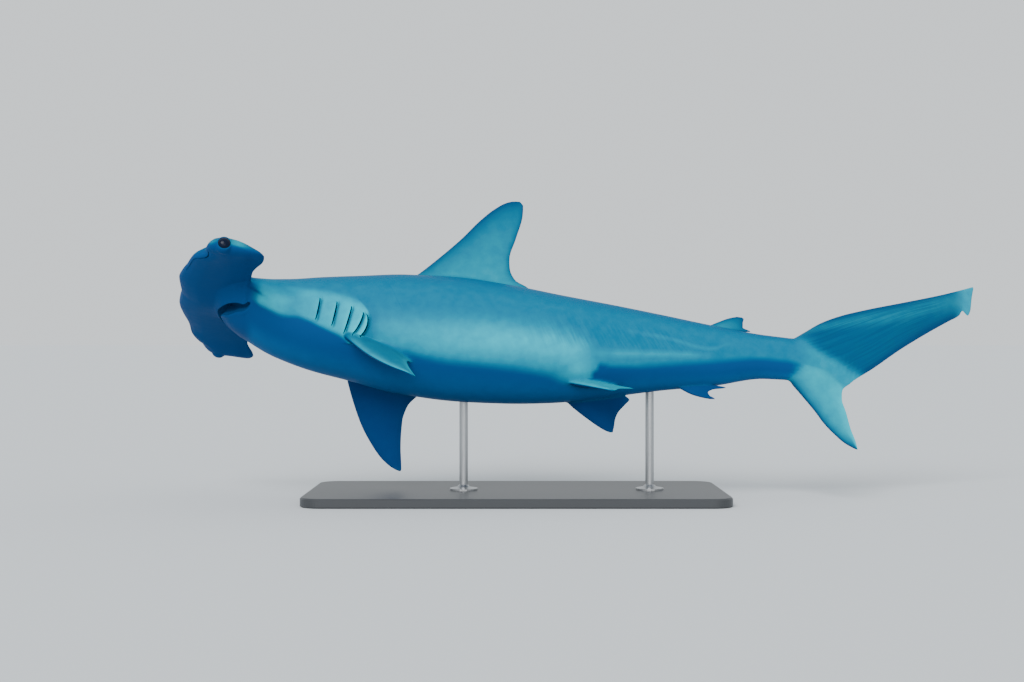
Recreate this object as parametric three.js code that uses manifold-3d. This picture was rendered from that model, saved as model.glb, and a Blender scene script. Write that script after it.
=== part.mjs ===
import * as THREE from "three";
import { mergeVertices } from "three/addons/utils/BufferGeometryUtils.js";
import Module from "manifold-3d";

// A scalloped hammerhead, life size, held over a flat base by two rods.
// Millimetres, +X to the tail, +Y to the animal's right, +Z up, origin under the middle of the base.

const wasm = await Module();
wasm.setup();

// Driving sizes, in millimetres and degrees
const totalLength = 2600; // snout to tip of the upper tail lobe, along the straight body
const seam = 0.3; // gap between two pieces that meet
const bankAngle = 27.6; // the belly turned toward -Y
const pitchAngle = 5.15; // the nose up
const headTurn = -9.4; // the head swings toward -Y
const tailTurn = -26.3; // the tail fin sweeps toward +Y
const baseLength = 1240;
const baseWidth = 520;
const baseHeight = 28;
const baseCorner = 60;
const baseBevel = 4;
const clearance = 52; // under the lowest fin tip, over the base
const lowestTip = 430; // the lowest fin tip, under the pivot
const rodRadius = 13;
const footRadius = 42;
const footHeight = 9;
const footEdge = 5; // height of the foot at its rim
const footFillet = 7;

// The body is drawn straight, in hundredths of the total length:
// s runs back from the snout, a to the animal's left, u up from the swimming axis.
const unit = totalLength / 100;
const pivot = 30; // the station that the body bends and banks about
const baseStation = 39; // the station over the middle of the base
const rodStations = [33, 54.5];

// A smooth curve through a few [place, size] pairs, with no overshoot between them.
function curve(...knots) {
  const slope = knots.slice(1).map(([x, y], i) => (y - knots[i][1]) / (x - knots[i][0]));
  const tangent = knots.map((knot, i) => {
    if (i === 0) return slope[0];
    if (i === knots.length - 1) return slope[i - 1];
    const [before, after] = [slope[i - 1], slope[i]];
    if (before * after <= 0) return 0;
    const ahead = knots[i + 1][0] - knot[0];
    const behind = knot[0] - knots[i - 1][0];
    return (3 * (ahead + behind)) / ((2 * ahead + behind) / before + (ahead + 2 * behind) / after);
  });
  return (x) => {
    if (x <= knots[0][0]) return knots[0][1];
    if (x >= knots[knots.length - 1][0]) return knots[knots.length - 1][1];
    const i = knots.findIndex((knot) => knot[0] > x) - 1;
    const width = knots[i + 1][0] - knots[i][0];
    const t = (x - knots[i][0]) / width;
    const rest = 1 - t;
    return (
      knots[i][1] * (1 + 2 * t) * rest * rest +
      tangent[i] * width * t * rest * rest +
      knots[i + 1][1] * t * t * (3 - 2 * t) -
      tangent[i + 1] * width * t * t * rest
    );
  };
}

const { cos, sin, sqrt, abs, exp, max, min, PI } = Math;
const radians = (degrees) => (degrees * PI) / 180;
const mix = (from, to, t) => from + (to - from) * t;
const ease = (t) => {
  const x = min(1, max(0, t));
  return x * x * (3 - 2 * x);
};
const bell = (x, middle, width) => exp(-(((x - middle) / width) ** 2));

// Pose: the swimming bend, then the bank and the pitch
const turnAt = (s) =>
  radians(headTurn) * (1 - ease((s - 11) / 14)) + radians(tailTurn) * ease((s - 66) / 30);
const spineStep = 0.25;
const spine = [[0, 0]];
for (let s = 0; s < 100; s += spineStep) {
  const [back, left] = spine[spine.length - 1];
  const turn = turnAt(s + spineStep / 2);
  spine.push([back + cos(turn) * spineStep, left + sin(turn) * spineStep]);
}
function spineAt(s) {
  const place = min(max(s / spineStep, 0), spine.length - 2);
  const i = Math.floor(place);
  return [0, 1].map((axis) => mix(spine[i][axis], spine[i + 1][axis], s / spineStep - i));
}
const [pivotBack, pivotLeft] = spineAt(pivot);
const tilt = new THREE.Matrix4()
  .makeRotationY(radians(pitchAngle))
  .multiply(new THREE.Matrix4().makeRotationX(-radians(bankAngle)));
const lift = baseHeight + clearance + lowestTip;
function turned(s, a, u) {
  const [back, left] = spineAt(s);
  const turn = turnAt(s);
  return new THREE.Vector3(
    (back - pivotBack - a * sin(turn)) * unit,
    -(left - pivotLeft + a * cos(turn)) * unit,
    u * unit,
  ).applyMatrix4(tilt);
}
const overBase = turned(baseStation, 0, 0);
const posed = (s, a, u) =>
  turned(s, a, u).add(new THREE.Vector3(-overBase.x, -overBase.y, lift));

// A closed surface of rows of points: each row runs once round, the first and last rows close to a point
// or to an edge. The two sides are split alike, and faces that fold onto each other fall away.
function loft(columns, rows, pointAt) {
  const sheet = new THREE.PlaneGeometry(1, 1, columns, rows);
  const places = sheet.getAttribute("position");
  for (let row = 0; row <= rows; row++)
    for (let column = 0; column <= columns; column++) {
      const point = pointAt(row, column % columns);
      places.setXYZ(row * (columns + 1) + column, point.x, point.y, point.z);
    }
  const corners = [];
  for (let row = 0; row < rows; row++)
    for (let column = 0; column < columns; column++) {
      const a = row * (columns + 1) + column;
      const b = a + columns + 1;
      if (column < columns / 2) corners.push([a, b, a + 1], [b, b + 1, a + 1]);
      else corners.push([a, b, b + 1], [a, b + 1, a + 1]);
    }
  sheet.setIndex(corners.flat());
  return solid(sheet);
}

// A geometry as a solid.
function solid(geometry) {
  geometry.deleteAttribute("normal");
  geometry.deleteAttribute("uv");
  const merged = mergeVertices(geometry, 1e-3);
  const kept = new Map();
  for (let i = 0; i < merged.index.count; i += 3) {
    const face = [0, 1, 2].map((k) => merged.index.getX(i + k));
    if (new Set(face).size < 3) continue;
    const key = [...face].sort((m, n) => m - n).join();
    if (kept.has(key)) kept.delete(key);
    else kept.set(key, face);
  }
  const build = (faces) =>
    new wasm.Manifold(
      new wasm.Mesh({
        numProp: 3,
        vertProperties: merged.getAttribute("position").array,
        triVerts: new Uint32Array(faces.flat()),
      }),
    );
  const made = build([...kept.values()]);
  return made.volume() > 0 ? made : build([...kept.values()].map(([a, b, c]) => [a, c, b]));
}
const largest = (body) =>
  body.decompose().reduce((best, piece) => (piece.volume() > best.volume() ? piece : best));

// Body: heights of the back and belly, of the widest line between them, and half widths
const back = curve([0, 0.6], [2, 1.4], [4, 1.9], [6, 2.15], [8, 2.4], [12, 3.5], [16, 4.6],
  [20, 5.35], [26, 6.15], [32, 6.35], [38, 6.0], [44, 5.35], [50, 4.8], [56, 4.15], [62, 3.45],
  [68, 2.9], [71, 2.85], [72.1, 3.6], [74.5, 5.45], [77, 6.85], [80, 8.2], [85, 10.4], [91, 13.3],
  [94.7, 15.3], [96.75, 16.45]);
const belly = curve([0, 0.4], [4.2, -0.7], [5.2, -1.8], [6.5, -2.9], [8, -3.75], [12, -5.55],
  [16, -6.45], [20, -7.0], [26, -8.05], [32, -8.4], [38, -8.2], [44, -7.6], [50, -6.4], [56, -5.05],
  [62, -3.95], [68, -2.5], [72, -2.4], [76.4, -2.9], [77.3, -2.5], [78.2, -1.6], [80.7, 0.45],
  [84.5, 3.85], [88.7, 7.3], [92.3, 10.1], [94.1, 11.5], [94.75, 12.35], [95.5, 11.95],
  [96.1, 12.9], [96.35, 14.2], [96.75, 15.9]);
const middle = curve([0, 0.55], [8, 0.5], [12, 0.1], [16, -0.5], [20, -0.8], [26, -1.0], [44, -1.0],
  [56, -0.4], [68, 0.3], [73, 1.0], [77, 3.2], [85, 8.6], [91, 12.0], [96.75, 16.2]);
const halfWidth = curve([0, 5.4], [8, 4.6], [12, 4.6], [16, 5.1], [20, 5.55], [26, 6.1], [32, 6.25],
  [38, 5.85], [44, 5.2], [50, 4.3], [56, 3.35], [62, 2.45], [68, 1.75], [72, 1.4], [76, 0.85],
  [80, 0.6], [86, 0.42], [96.75, 0.16]);
const finLike = curve([70, 0], [77, 1]); // 0 on the round body, 1 where the section is a fin's
const webThickness = 0.16; // half thickness of the tail fin behind its thick upper edge

// The point of the body's section at station s and angle (0 on the left side, a quarter turn on the back).
function skin(s, angle, extra = 0) {
  const up = sin(angle);
  const out = cos(angle);
  const height = up > 0 ? back(s) - middle(s) : middle(s) - belly(s);
  const thin = finLike(s);
  const round = 1 - 0.06 * up * (1 - thin);
  const web = min(webThickness, halfWidth(s)) * thin;
  const power = (up > 0 ? 0.7 : 2.2) * thin;
  const half = web + (halfWidth(s) - web) * abs(out) ** power;
  return [s, out * (half * round + extra), middle(s) + up * (height + extra)];
}

const ringColumns = 32;
const ringAngle = (column) => (column / ringColumns) * 2 * PI;
const gap = seam / unit;
const seams = [14, 26.6, 43, 57, 71.6]; // where one length of the body meets the next
const tailEnd = 96.75;
const ringSpacing = 2.4;
const tipRings = [94.1, 94.75, 95.1, 95.5, 96.1, 96.35, 96.6]; // round the notch near the tail's tip
// Every ring of the body behind the head, with two at each seam
const rings = seams.flatMap((from, i) => {
  const to = i + 1 < seams.length ? seams[i + 1] - gap / 2 : 92.6;
  const steps = Math.round((to - from) / ringSpacing);
  return Array.from({ length: steps + 1 }, (_, step) => mix(from + gap / 2, to, step / steps));
}).concat(tipRings, tailEnd);
// A length of the body between two stations, with flat ends square to the spine.
function bodyLength(from, to, extra = 0) {
  const within = rings.filter((s) => s > from && s < to);
  const stations = [within[0], ...within, within[within.length - 1]];
  return loft(ringColumns, stations.length - 1, (row, column) => {
    const s = stations[row];
    if (row === 0 || row === stations.length - 1) return posed(s, 0, middle(s));
    return posed(...skin(s, ringAngle(column), extra));
  });
}

// Head: a wide, thin wing across the front of the neck, its outline seen from above
const frontEdge = curve([0, 0.32], [1.6, 0.13], [3, 0.05], [4.8, 0.4], [6.6, 0.98], [8.8, 1.62],
  [9.7, 2.25], [10.3, 2.75], [10.8, 3.0], [11.6, 3.07], [12.35, 3.3]);
const rearEdge = curve([0, 8.9], [4.6, 8.0], [7, 8.12], [8.2, 8.42], [9.2, 8.75], [9.95, 9.0],
  [10.7, 9.18], [11.6, 9.27], [12.6, 9.25]);
const sideEdge = curve([0, 12.35], [0.06, 12.85], [0.13, 13.15], [0.3, 13.3], [0.5, 13.3], [0.7, 13.25],
  [0.88, 13.1], [0.95, 12.8], [1, 12.35]);
const neckJoin = 8.0; // where the wing's rear edge runs into the side of the neck
const neckHalf = halfWidth(neckJoin);
const cornerDroop = 0.4; // the rear corner of the wing hangs below its front
const wingMiddle = (a, s = 0) =>
  0.6 - 0.6 * (a / 13) ** 2 - cornerDroop * ease((s - 6) / 3.4) * ease((abs(a) - 7) / 5.5);
const wingTop = (a) => 0.95 - 0.2 * bell(abs(a), 8.5, 3) + 0.2 * bell(abs(a), 13, 1.6);
const wingUnder = (a) => 1.0 + 0.45 * bell(a, 0, 4.5) - 0.1 * bell(abs(a), 8.5, 3);
const jawHalf = curve([4.4, 3.4], [5.4, 4.3], [6.6, 4.9], [7.4, 4.9], [neckJoin, neckHalf]);
const foil = curve([0, 0], [0.02, 0.3], [0.06, 0.52], [0.14, 0.78], [0.3, 1], [0.6, 0.8],
  [0.85, 0.45], [0.96, 0.27], [1, 0]);
const wingEnd = 0.1; // share of the half span that rounds off at each end
// The right wing is flexed a little ahead near its end, most at its rear edge.
const flexAt = -10.2;
const flexSpread = 1.5;
const flexFront = 0.5;
const flexRear = 0.75;
const wingFlex = (a, f) => (a < 0 ? mix(flexFront, flexRear, f) * bell(a, flexAt, flexSpread) : 0);
const noseRise = 0.25; // share of the chord over which the skull rises from the front edge
const crownFrom = 0.6; // share of the chord where the skull's spread sides begin to close to a round neck
const crownSpread = 1.6;
const peakOnset = 0.4; // softens the line where skull and jaw rise out of the wing

// How far the head's surface lies above or below the middle of the wing.
function headHeight(s, a, f, end, top) {
  const half = top ? halfWidth(s) : jawHalf(s);
  const wing = top ? wingTop : wingUnder;
  const peak = abs((top ? back(s) : belly(s)) - wingMiddle(0)) - wing(0) * foil(f) * end;
  const power = mix(crownSpread, 0.5, ease((f - crownFrom) / (1 - crownFrom)));
  const crown = max(0, 1 - (a / half) ** 2) ** power * ease(f / noseRise);
  return wing(a) * foil(f) * end + ((peak + sqrt(peak ** 2 + peakOnset ** 2)) / 2) * crown;
}
// A point of the head: e across (1 at the left end), f from the front edge to the rear one.
function headPoint(e, f, top) {
  const a = e * sideEdge(f);
  const straight = mix(frontEdge(abs(e) * sideEdge(0)), rearEdge(abs(e) * sideEdge(1)), f);
  const s = straight - wingFlex(a, f);
  const end = sqrt(max(0, 1 - (max(0, abs(e) - 1 + wingEnd) / wingEnd) ** 2));
  const height = headHeight(s, a, f, end, top);
  return [s, a, wingMiddle(a, s) + (top ? height : -height)];
}
// The height of the head's underside near its middle.
function underHead(s, a) {
  const [front, rear] = [frontEdge(abs(a)), rearEdge(abs(a))];
  return wingMiddle(a, s) - headHeight(s, a, min(1, (s - front) / (rear - front)), 1, false);
}

const neckEnd = seams[0] - gap / 2;
const wingColumns = 9;
const neckColumns = 20;
const headColumns = 2 * wingColumns + neckColumns;
const chordRows = [0, 0.02, 0.07, 0.16, 0.3, 0.44, 0.52, 0.57, 0.62, 0.68, 0.75, 0.83, 0.91, 0.97, 1];
const neckRows = [9.6, 10.8, 12.4, neckEnd];
function headSolid() {
  const neckShare = neckHalf / sideEdge(1);
  return loft(2 * headColumns, chordRows.length + neckRows.length, (row, column) => {
    const top = column <= headColumns;
    const i = top ? column : 2 * headColumns - column;
    const fromEnd = min(i, headColumns - i);
    const left = i <= headColumns / 2 ? 1 : -1;
    const inNeck = fromEnd >= wingColumns;
    const angle = (max(0, min(neckColumns, i - wingColumns)) / neckColumns) * PI;
    if (row < chordRows.length) {
      const e = inNeck
        ? neckShare * cos(angle)
        : left * mix(neckShare, 1, cos((fromEnd / wingColumns) * (PI / 2)));
      return posed(...headPoint(e, chordRows[row], top));
    }
    if (row === chordRows.length + neckRows.length) return posed(neckEnd, 0, middle(neckEnd));
    return posed(...skin(neckRows[row - chordRows.length], top ? angle : -angle));
  });
}

// A bar swept through a body, given by its corner points: n steps long, across(t) wide, deep.
function sweptBar(steps, pointAt) {
  return loft(4, steps + 2, (row, column) => {
    const t = min(steps, max(0, row - 1)) / steps;
    const corners = [0, 1, 2, 3].map((k) => pointAt(t, k === 1 || k === 2, k >= 2));
    if (row > 0 && row < steps + 2) return corners[column];
    return corners.reduce((sum, corner) => sum.add(corner), new THREE.Vector3()).divideScalar(4);
  });
}

// Mouth: a crescent under the head, a little open, its corners drawn back, between raised lips
const mouthFront = 4.75;
const mouthLength = 3.95;
const mouthHalf = 4.05;
const mouthOpen = 1.0;
const mouthCornerOpen = 0.14;
const jawJut = 0.55; // the middle of the lower jaw stands forward and half closes the gap there
const jawJutSpread = 0.12;
const mouthSlant = 0.6; // the mouth runs inward as it goes up
const mouthDepth = 1.2;
const mouthReach = 1.5; // the cutting bar's reach below the lips
const mouthTurn = radians(84); // from the middle of the mouth round to each corner
const mouthSteps = 14;
const lipWidth = 0.34;
const lipHeight = 0.11;
const lipRoot = 0.5;
function mouthPath(t, inward) {
  const angle = mix(-mouthTurn, mouthTurn, t);
  const s = mouthFront + mouthLength * (1 - cos(angle)) ** 0.85 + inward * cos(angle);
  return [s, (mouthHalf - inward) * sin(angle)];
}
const openAt = (t) =>
  mix(mouthCornerOpen, mouthOpen, sin(t * PI) ** 0.45) * (1 - jawJut * bell(t, 0.48, jawJutSpread));
const mouth = sweptBar(mouthSteps, (t, rear, deep) => {
  const rise = (deep ? mouthDepth : -mouthReach) * mix(0.45, 1, sin(t * PI));
  const edge = rear ? openAt(t) : 0;
  const [s, a] = mouthPath(t, edge + mouthSlant * rise);
  return posed(s, a, underHead(...mouthPath(t, edge)) + rise);
});
const lipAt = (t) => mix(0.3, 1, sqrt(sin(t * PI))); // the lips thin out toward the corners
const lip = (from) =>
  sweptBar(mouthSteps, (t, rear, deep) => {
    const [s, a] = mouthPath(t, from(t) + (rear ? lipWidth * lipAt(t) : 0));
    return posed(s, a, underHead(s, a) + (deep ? lipRoot : -lipHeight * lipAt(t)));
  });
const upperLip = lip((t) => 0.06 - lipWidth * lipAt(t));
const lowerLip = lip((t) => openAt(t) - 0.06);

// Nostrils: a slit under the front edge on each side, with a groove that runs inward from it
const nostrilFrom = 5.8;
const nostrilMiddle = 10.3;
const nostrilTo = 11.3;
const nostrilWidth = 0.12;
const nostrilDepth = 0.3;
const grooveWidth = 0.07;
const grooveDepth = 0.14;
const nostril = (side) =>
  sweptBar(10, (t, rear, deep) => {
    const a = mix(nostrilFrom, nostrilTo, t);
    const near = bell(a, nostrilMiddle, 0.8);
    const depth = grooveDepth + nostrilDepth * near;
    const front = frontEdge(a) - wingFlex(side * a, 0);
    const s = front + 0.16 + (rear ? grooveWidth + nostrilWidth * near : 0);
    const u = wingMiddle(a) - 0.36 + depth;
    return posed(s + (deep ? depth : 0), side * a, deep ? u : u - depth - 1.4);
  });

// Eyes: a ball in the rounded end of each wing, in a socket with a low round rim
const eyeStation = 4.95;
const eyeSide = 12.75;
const eyeRadius = 0.88;
const eyeHeight = wingMiddle(eyeSide) - 0.12;
const socketProfile = [[0, 12.3], [0.98, 12.4], [0.94, 12.95], [0.86, 13.22], [0.76, 13.38],
  [0.65, 13.38], [0, 13.38]];
const atEye = (side, out, geometry) => {
  const places = geometry.getAttribute("position");
  for (let i = 0; i < places.count; i++) {
    const [s, a] = [eyeStation + places.getX(i), side * (out + places.getY(i))];
    const point = posed(s, a, eyeHeight + places.getZ(i));
    places.setXYZ(i, point.x, point.y, point.z);
  }
  return solid(geometry);
};
const eye = (side, extra = 0) =>
  atEye(side, eyeSide, new THREE.SphereGeometry(eyeRadius + extra, 16, 10));
const socket = (side) =>
  atEye(side, 0, new THREE.LatheGeometry(socketProfile.map((point) => new THREE.Vector2(...point)), 18));

// Gills: five slits on each side, ahead at their lower ends, the last over the root of the side fin
const gills = [ // top and foot are degrees over the widest line; the foot leads and the middle bows back
  { station: 16.28, top: 2, foot: -24.5, lean: 0.15, bow: 0 },
  { station: 18.42, top: 0.5, foot: -27.5, lean: 0.26, bow: 0 },
  { station: 20.3, top: -3, foot: -34, lean: 0.6, bow: 0.02 },
  { station: 21.8, top: -8.5, foot: -34, lean: 1.15, bow: 0.22 },
  { station: 22.2, top: -9.5, foot: -41.5, lean: 1.55, bow: 0.8 },
];
const gillWidth = 0.2;
const gillDepth = 0.5;
const gillRake = 0.4; // how far the bottom of a slit lies ahead of its mouth
const gill = (side, { station, top, foot, lean, bow }) =>
  sweptBar(7, (t, rear, deep) => {
    const angle = radians(mix(top, foot, t));
    const ahead = lean * t - 4 * bow * t * (1 - t) + (deep ? gillRake : 0);
    const s = station - ahead + (rear ? gillWidth : 0);
    const [, a, u] = skin(s, angle, deep ? -gillDepth : 0.4);
    return posed(s, side * a, u);
  });

// Fins: an outline of leading and trailing edge against the height, and a half thickness
const finFoil = curve([0, 0], [0.015, 0.36], [0.06, 0.66], [0.18, 0.94], [0.33, 1], [0.6, 0.7],
  [0.85, 0.3], [0.96, 0.14], [1, 0]);
const edgeHalf = 0.045;
const finColumns = 9;
function finSolid({ from, to, rows, lead, trail, thick, place }) {
  return loft(2 * finColumns, rows + 2, (row, column) => {
    const share = min(rows, max(0, row - 1)) / rows;
    const height = mix(from, to, sin((share * PI) / 2) * 0.5 + share * 0.5);
    const j = column <= finColumns ? column : 2 * finColumns - column;
    const f = (1 - cos((j / finColumns) * PI)) / 2;
    const [front, rear] = [lead(height), trail(height)];
    if (row === 0) return place((front + rear) / 2, height, 0);
    const edge = edgeHalf * min(1, sqrt(max(0, 1 - f) * 30)) * min(1, f * 30);
    const half = row > rows ? 0 : max(thick(height) * finFoil(f), edge);
    if (row === rows + 2) return place((front + rear) / 2, height, 0);
    return place(mix(front, rear, f), height, column <= finColumns ? half : -half);
  });
}
const upright = (x, height, y) => posed(x, y, height);
const finShapes = {
  first_dorsal_fin: {
    from: 4.8, to: 18.45, rows: 13, place: upright,
    lead: curve([4.8, 25.2], [6.4, 26.2], [7.3, 27.1], [8.4, 28.1], [12.5, 31.5], [15.25, 33.45],
      [17.2, 35.2], [18.2, 36.6], [18.45, 37.5]),
    trail: curve([4.8, 37.4], [5.9, 37.7], [6.35, 40.0], [7.4, 38.3], [8.9, 37.55], [10.4, 37.4],
      [13.2, 37.95], [16.6, 38.5], [17.9, 38.45], [18.45, 38.0]),
    thick: curve([4.8, 1.1], [6.4, 0.75], [8, 0.55], [14, 0.32], [18.48, 0.12]),
  },
  second_dorsal_fin: {
    from: 2.6, to: 5.15, rows: 7, place: upright,
    lead: curve([2.6, 59.8], [3.5, 61.1], [4.2, 62.35], [4.9, 63.75], [5.15, 64.6]),
    trail: curve([2.6, 64.2], [3.15, 64.8], [3.35, 66.2], [3.8, 65.3], [4.4, 65.3], [4.95, 65.4],
      [5.15, 65.15]),
    thick: curve([2.6, 0.45], [3.4, 0.3], [5.15, 0.1]),
  },
  anal_fin: {
    from: 3.2, to: 5.8, rows: 7, place: (x, height, y) => posed(x, y, -height),
    lead: curve([3.2, 55.8], [4.4, 57.3], [5.1, 58.6], [5.5, 59.6], [5.75, 60.9], [5.8, 61.6]),
    trail: curve([3.2, 60.6], [3.9, 61.3], [4.2, 63.4], [4.6, 61.9], [5.0, 61.35], [5.4, 61.55],
      [5.7, 62.1], [5.8, 62.15]),
    thick: curve([3.2, 0.5], [4.4, 0.32], [5.8, 0.1]),
  },
  caudal_fin_lower: {
    from: 0.8, to: 10.1, rows: 11, place: (x, height, y) => posed(x, y, -height),
    lead: curve([0.8, 69.6], [2.7, 70.8], [4.05, 71.9], [6.1, 73.6], [7.5, 74.65], [8.8, 76.0],
      [9.6, 77.1], [10.1, 78.35]),
    trail: curve([0.8, 77.0], [2.6, 77.1], [3.4, 76.87], [4.1, 76.85], [5.6, 77.28], [7.7, 77.8],
      [9.2, 78.35], [10.1, 78.55]),
    thick: curve([0.8, 1.2], [2.4, 0.75], [4, 0.42], [7, 0.25], [10.1, 0.1]),
  },
};

// Paired fins: drawn flat, then bent, swept, twisted nose up and set on the side of the body
const tuckFrom = 5; // how far behind the root's front the free rear tip begins to tuck under
function besideBody({ side, station, out, up, droop, sweep, twist, curl, tuck }) {
  const [down, turn, nose] = [droop, sweep, twist].map(radians);
  return (x, reach, y) => {
    const along = x * cos(turn) + reach * sin(turn);
    const span = reach * cos(turn) - x * sin(turn);
    const bent = y - tuck * max(0, x - tuckFrom) ** 2;
    const lifted = bent * cos(nose) - along * sin(nose) - curl * span * span;
    return posed(
      station + along * cos(nose) + bent * sin(nose),
      side * (out + span * cos(down) + lifted * sin(down)),
      up - span * sin(down) + lifted * cos(down),
    );
  };
}
const pectoral = {
  from: -1.6, to: 10.85, rows: 13,
  lead: curve([-1.6, -0.4], [0, 0], [3, 0.8], [6, 1.85], [8, 2.95], [9.5, 4.1], [10.2, 4.95],
    [10.6, 5.65], [10.85, 6.35]),
  trail: curve([-1.6, 5.3], [0, 5.4], [0.8, 8.4], [1.5, 9.2], [2.1, 8.5], [3.1, 7.45], [3.9, 7.05],
    [5, 6.7], [8, 6.5], [10.2, 6.6], [10.6, 6.62], [10.85, 6.5]),
  thick: curve([-1.6, 0.9], [0.5, 0.62], [3, 0.45], [8, 0.26], [10.85, 0.1]),
};
const pelvic = {
  from: -1.2, to: 4, rows: 9,
  lead: curve([-1.2, -1.0], [0, 0], [1.4, 1.6], [2.6, 3.15], [3.4, 4.3], [3.8, 5.0], [4, 5.5]),
  trail: curve([-1.2, 6.4], [-0.4, 7.2], [0.2, 7.8], [0.8, 7.3], [1.7, 6.5], [2.5, 6.15], [3.4, 6.0],
    [4, 5.85]),
  thick: curve([-1.2, 0.6], [0.4, 0.38], [4, 0.1]),
};
const pectoralRoot = { station: 19.74, out: 4.9, up: -4.51 };
const pelvicRoot = { station: 44.8, out: 2.1, up: -6.35, curl: 0.01, tuck: 0 };
const pectoralPoses = {
  left: { side: 1, droop: 38.8, sweep: 15.5, twist: 10.2, curl: 0, tuck: 0.106 },
  right: { side: -1, droop: 49.4, sweep: 4.8, twist: 12.5, curl: 0.013, tuck: 0 },
};
const pelvicPoses = {
  left: { side: 1, droop: 29, sweep: -6, twist: 0 },
  right: { side: -1, droop: 56, sweep: 6, twist: 5 },
};
const finPairs = {};
for (const side of ["left", "right"]) {
  const pectoralPlace = besideBody({ ...pectoralRoot, ...pectoralPoses[side] });
  const pelvicPlace = besideBody({ ...pelvicRoot, ...pelvicPoses[side] });
  finPairs[`pectoral_fin_${side}`] = { ...pectoral, place: pectoralPlace };
  finPairs[`pelvic_fin_${side}`] = { ...pelvic, place: pelvicPlace };
}

// Stand: a flat base and two rods, each on a round foot
const base = new THREE.Shape();
const [halfLength, halfBase] = [baseLength / 2, baseWidth / 2];
base.moveTo(halfLength - baseCorner, -halfBase);
base.absarc(halfLength - baseCorner, -halfBase + baseCorner, baseCorner, -PI / 2, 0);
base.absarc(halfLength - baseCorner, halfBase - baseCorner, baseCorner, 0, PI / 2);
base.absarc(-halfLength + baseCorner, halfBase - baseCorner, baseCorner, PI / 2, PI);
base.absarc(-halfLength + baseCorner, -halfBase + baseCorner, baseCorner, PI, 1.5 * PI);
const baseGeometry = new THREE.ExtrudeGeometry(base, {
  depth: baseHeight - 2 * baseBevel, bevelEnabled: true, bevelThickness: baseBevel, bevelSize: baseBevel,
  bevelOffset: -baseBevel, bevelSegments: 1, curveSegments: 6, steps: 1,
});
baseGeometry.translate(0, 0, baseBevel);

const parts = new Map();
const bodyNames = ["neck", "torso_front", "torso_rear", "tail_stalk", "caudal_fin_upper"];
const bodyCutter = bodyLength(0, 100, 1.2 * gap);

let head = headSolid().add(upperLip).add(lowerLip).subtract(mouth);
for (const side of [1, -1])
  head = head.subtract(nostril(side)).add(socket(side)).subtract(eye(side, gap));
parts.set("head", largest(head));
parts.set("eye_left", eye(1));
parts.set("eye_right", eye(-1));
bodyNames.forEach((name, i) => {
  let piece = bodyLength(seams[i], seams[i + 1] ?? 100);
  if (name === "neck")
    for (const side of [1, -1])
      for (const slit of gills) piece = piece.subtract(gill(side, slit));
  parts.set(name, largest(piece));
});
for (const [name, shape] of Object.entries({ ...finShapes, ...finPairs }))
  parts.set(name, largest(finSolid(shape).subtract(bodyCutter)));
parts.set("stand_base", solid(baseGeometry));
rodStations.forEach((station, i) => {
  const middleOfBody = posed(station, 0, middle(station));
  const height = middleOfBody.z - baseHeight - seam;
  const profile = [[0, 0], [footRadius, 0], [footRadius, footEdge], [rodRadius + footFillet, footHeight],
    [rodRadius, footHeight + footFillet], [rodRadius, height], [0, height]];
  const rod = new THREE.LatheGeometry(profile.map(([x, y]) => new THREE.Vector2(x, y)), 24);
  rod.rotateX(PI / 2);
  rod.translate(middleOfBody.x, middleOfBody.y, baseHeight + seam);
  parts.set(i ? "stand_rod_rear" : "stand_rod_front", largest(solid(rod).subtract(bodyCutter)));
});

const finishes = {
  skin: { color: 0x6f9aa6, roughness: 0.45, metalness: 0 },
  eye: { color: 0x0c0f12, roughness: 0.1, metalness: 0 },
  base: { color: 0x2b2d30, roughness: 0.4, metalness: 0 },
  rod: { color: 0x8d9296, roughness: 0.3, metalness: 1 },
};
const finishOf = (name) => {
  if (name.startsWith("eye")) return finishes.eye;
  if (name === "stand_base") return finishes.base;
  return name.startsWith("stand") ? finishes.rod : finishes.skin;
};
const shark = new THREE.Group();
for (const [name, body] of parts) {
  const { vertProperties, triVerts } = body.getMesh();
  const geometry = new THREE.BufferGeometry();
  geometry.setAttribute("position", new THREE.BufferAttribute(new Float32Array(vertProperties), 3));
  geometry.setIndex(new THREE.BufferAttribute(new Uint32Array(triVerts), 1));
  geometry.computeVertexNormals();
  const mesh = new THREE.Mesh(geometry, new THREE.MeshStandardMaterial(finishOf(name)));
  mesh.name = name;
  shark.add(mesh);
}
export default shark;
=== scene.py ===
from contextlib import contextmanager
from math import cos, pi, radians, sin

import bmesh
import bpy
import numpy as np
from mathutils import Matrix, Vector
from mathutils.kdtree import KDTree


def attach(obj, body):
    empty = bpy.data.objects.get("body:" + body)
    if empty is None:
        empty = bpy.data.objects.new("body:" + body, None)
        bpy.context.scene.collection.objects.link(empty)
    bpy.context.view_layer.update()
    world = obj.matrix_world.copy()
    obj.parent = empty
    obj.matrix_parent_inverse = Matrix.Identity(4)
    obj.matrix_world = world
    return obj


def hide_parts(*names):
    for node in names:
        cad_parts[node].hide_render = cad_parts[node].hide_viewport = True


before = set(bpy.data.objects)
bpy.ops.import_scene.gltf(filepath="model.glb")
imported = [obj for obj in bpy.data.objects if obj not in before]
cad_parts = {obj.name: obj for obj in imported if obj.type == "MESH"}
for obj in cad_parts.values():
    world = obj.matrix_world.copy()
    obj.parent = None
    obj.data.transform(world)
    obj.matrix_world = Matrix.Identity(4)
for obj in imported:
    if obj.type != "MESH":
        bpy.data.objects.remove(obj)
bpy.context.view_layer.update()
print("frame loaded:", len(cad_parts), "nodes")

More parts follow.
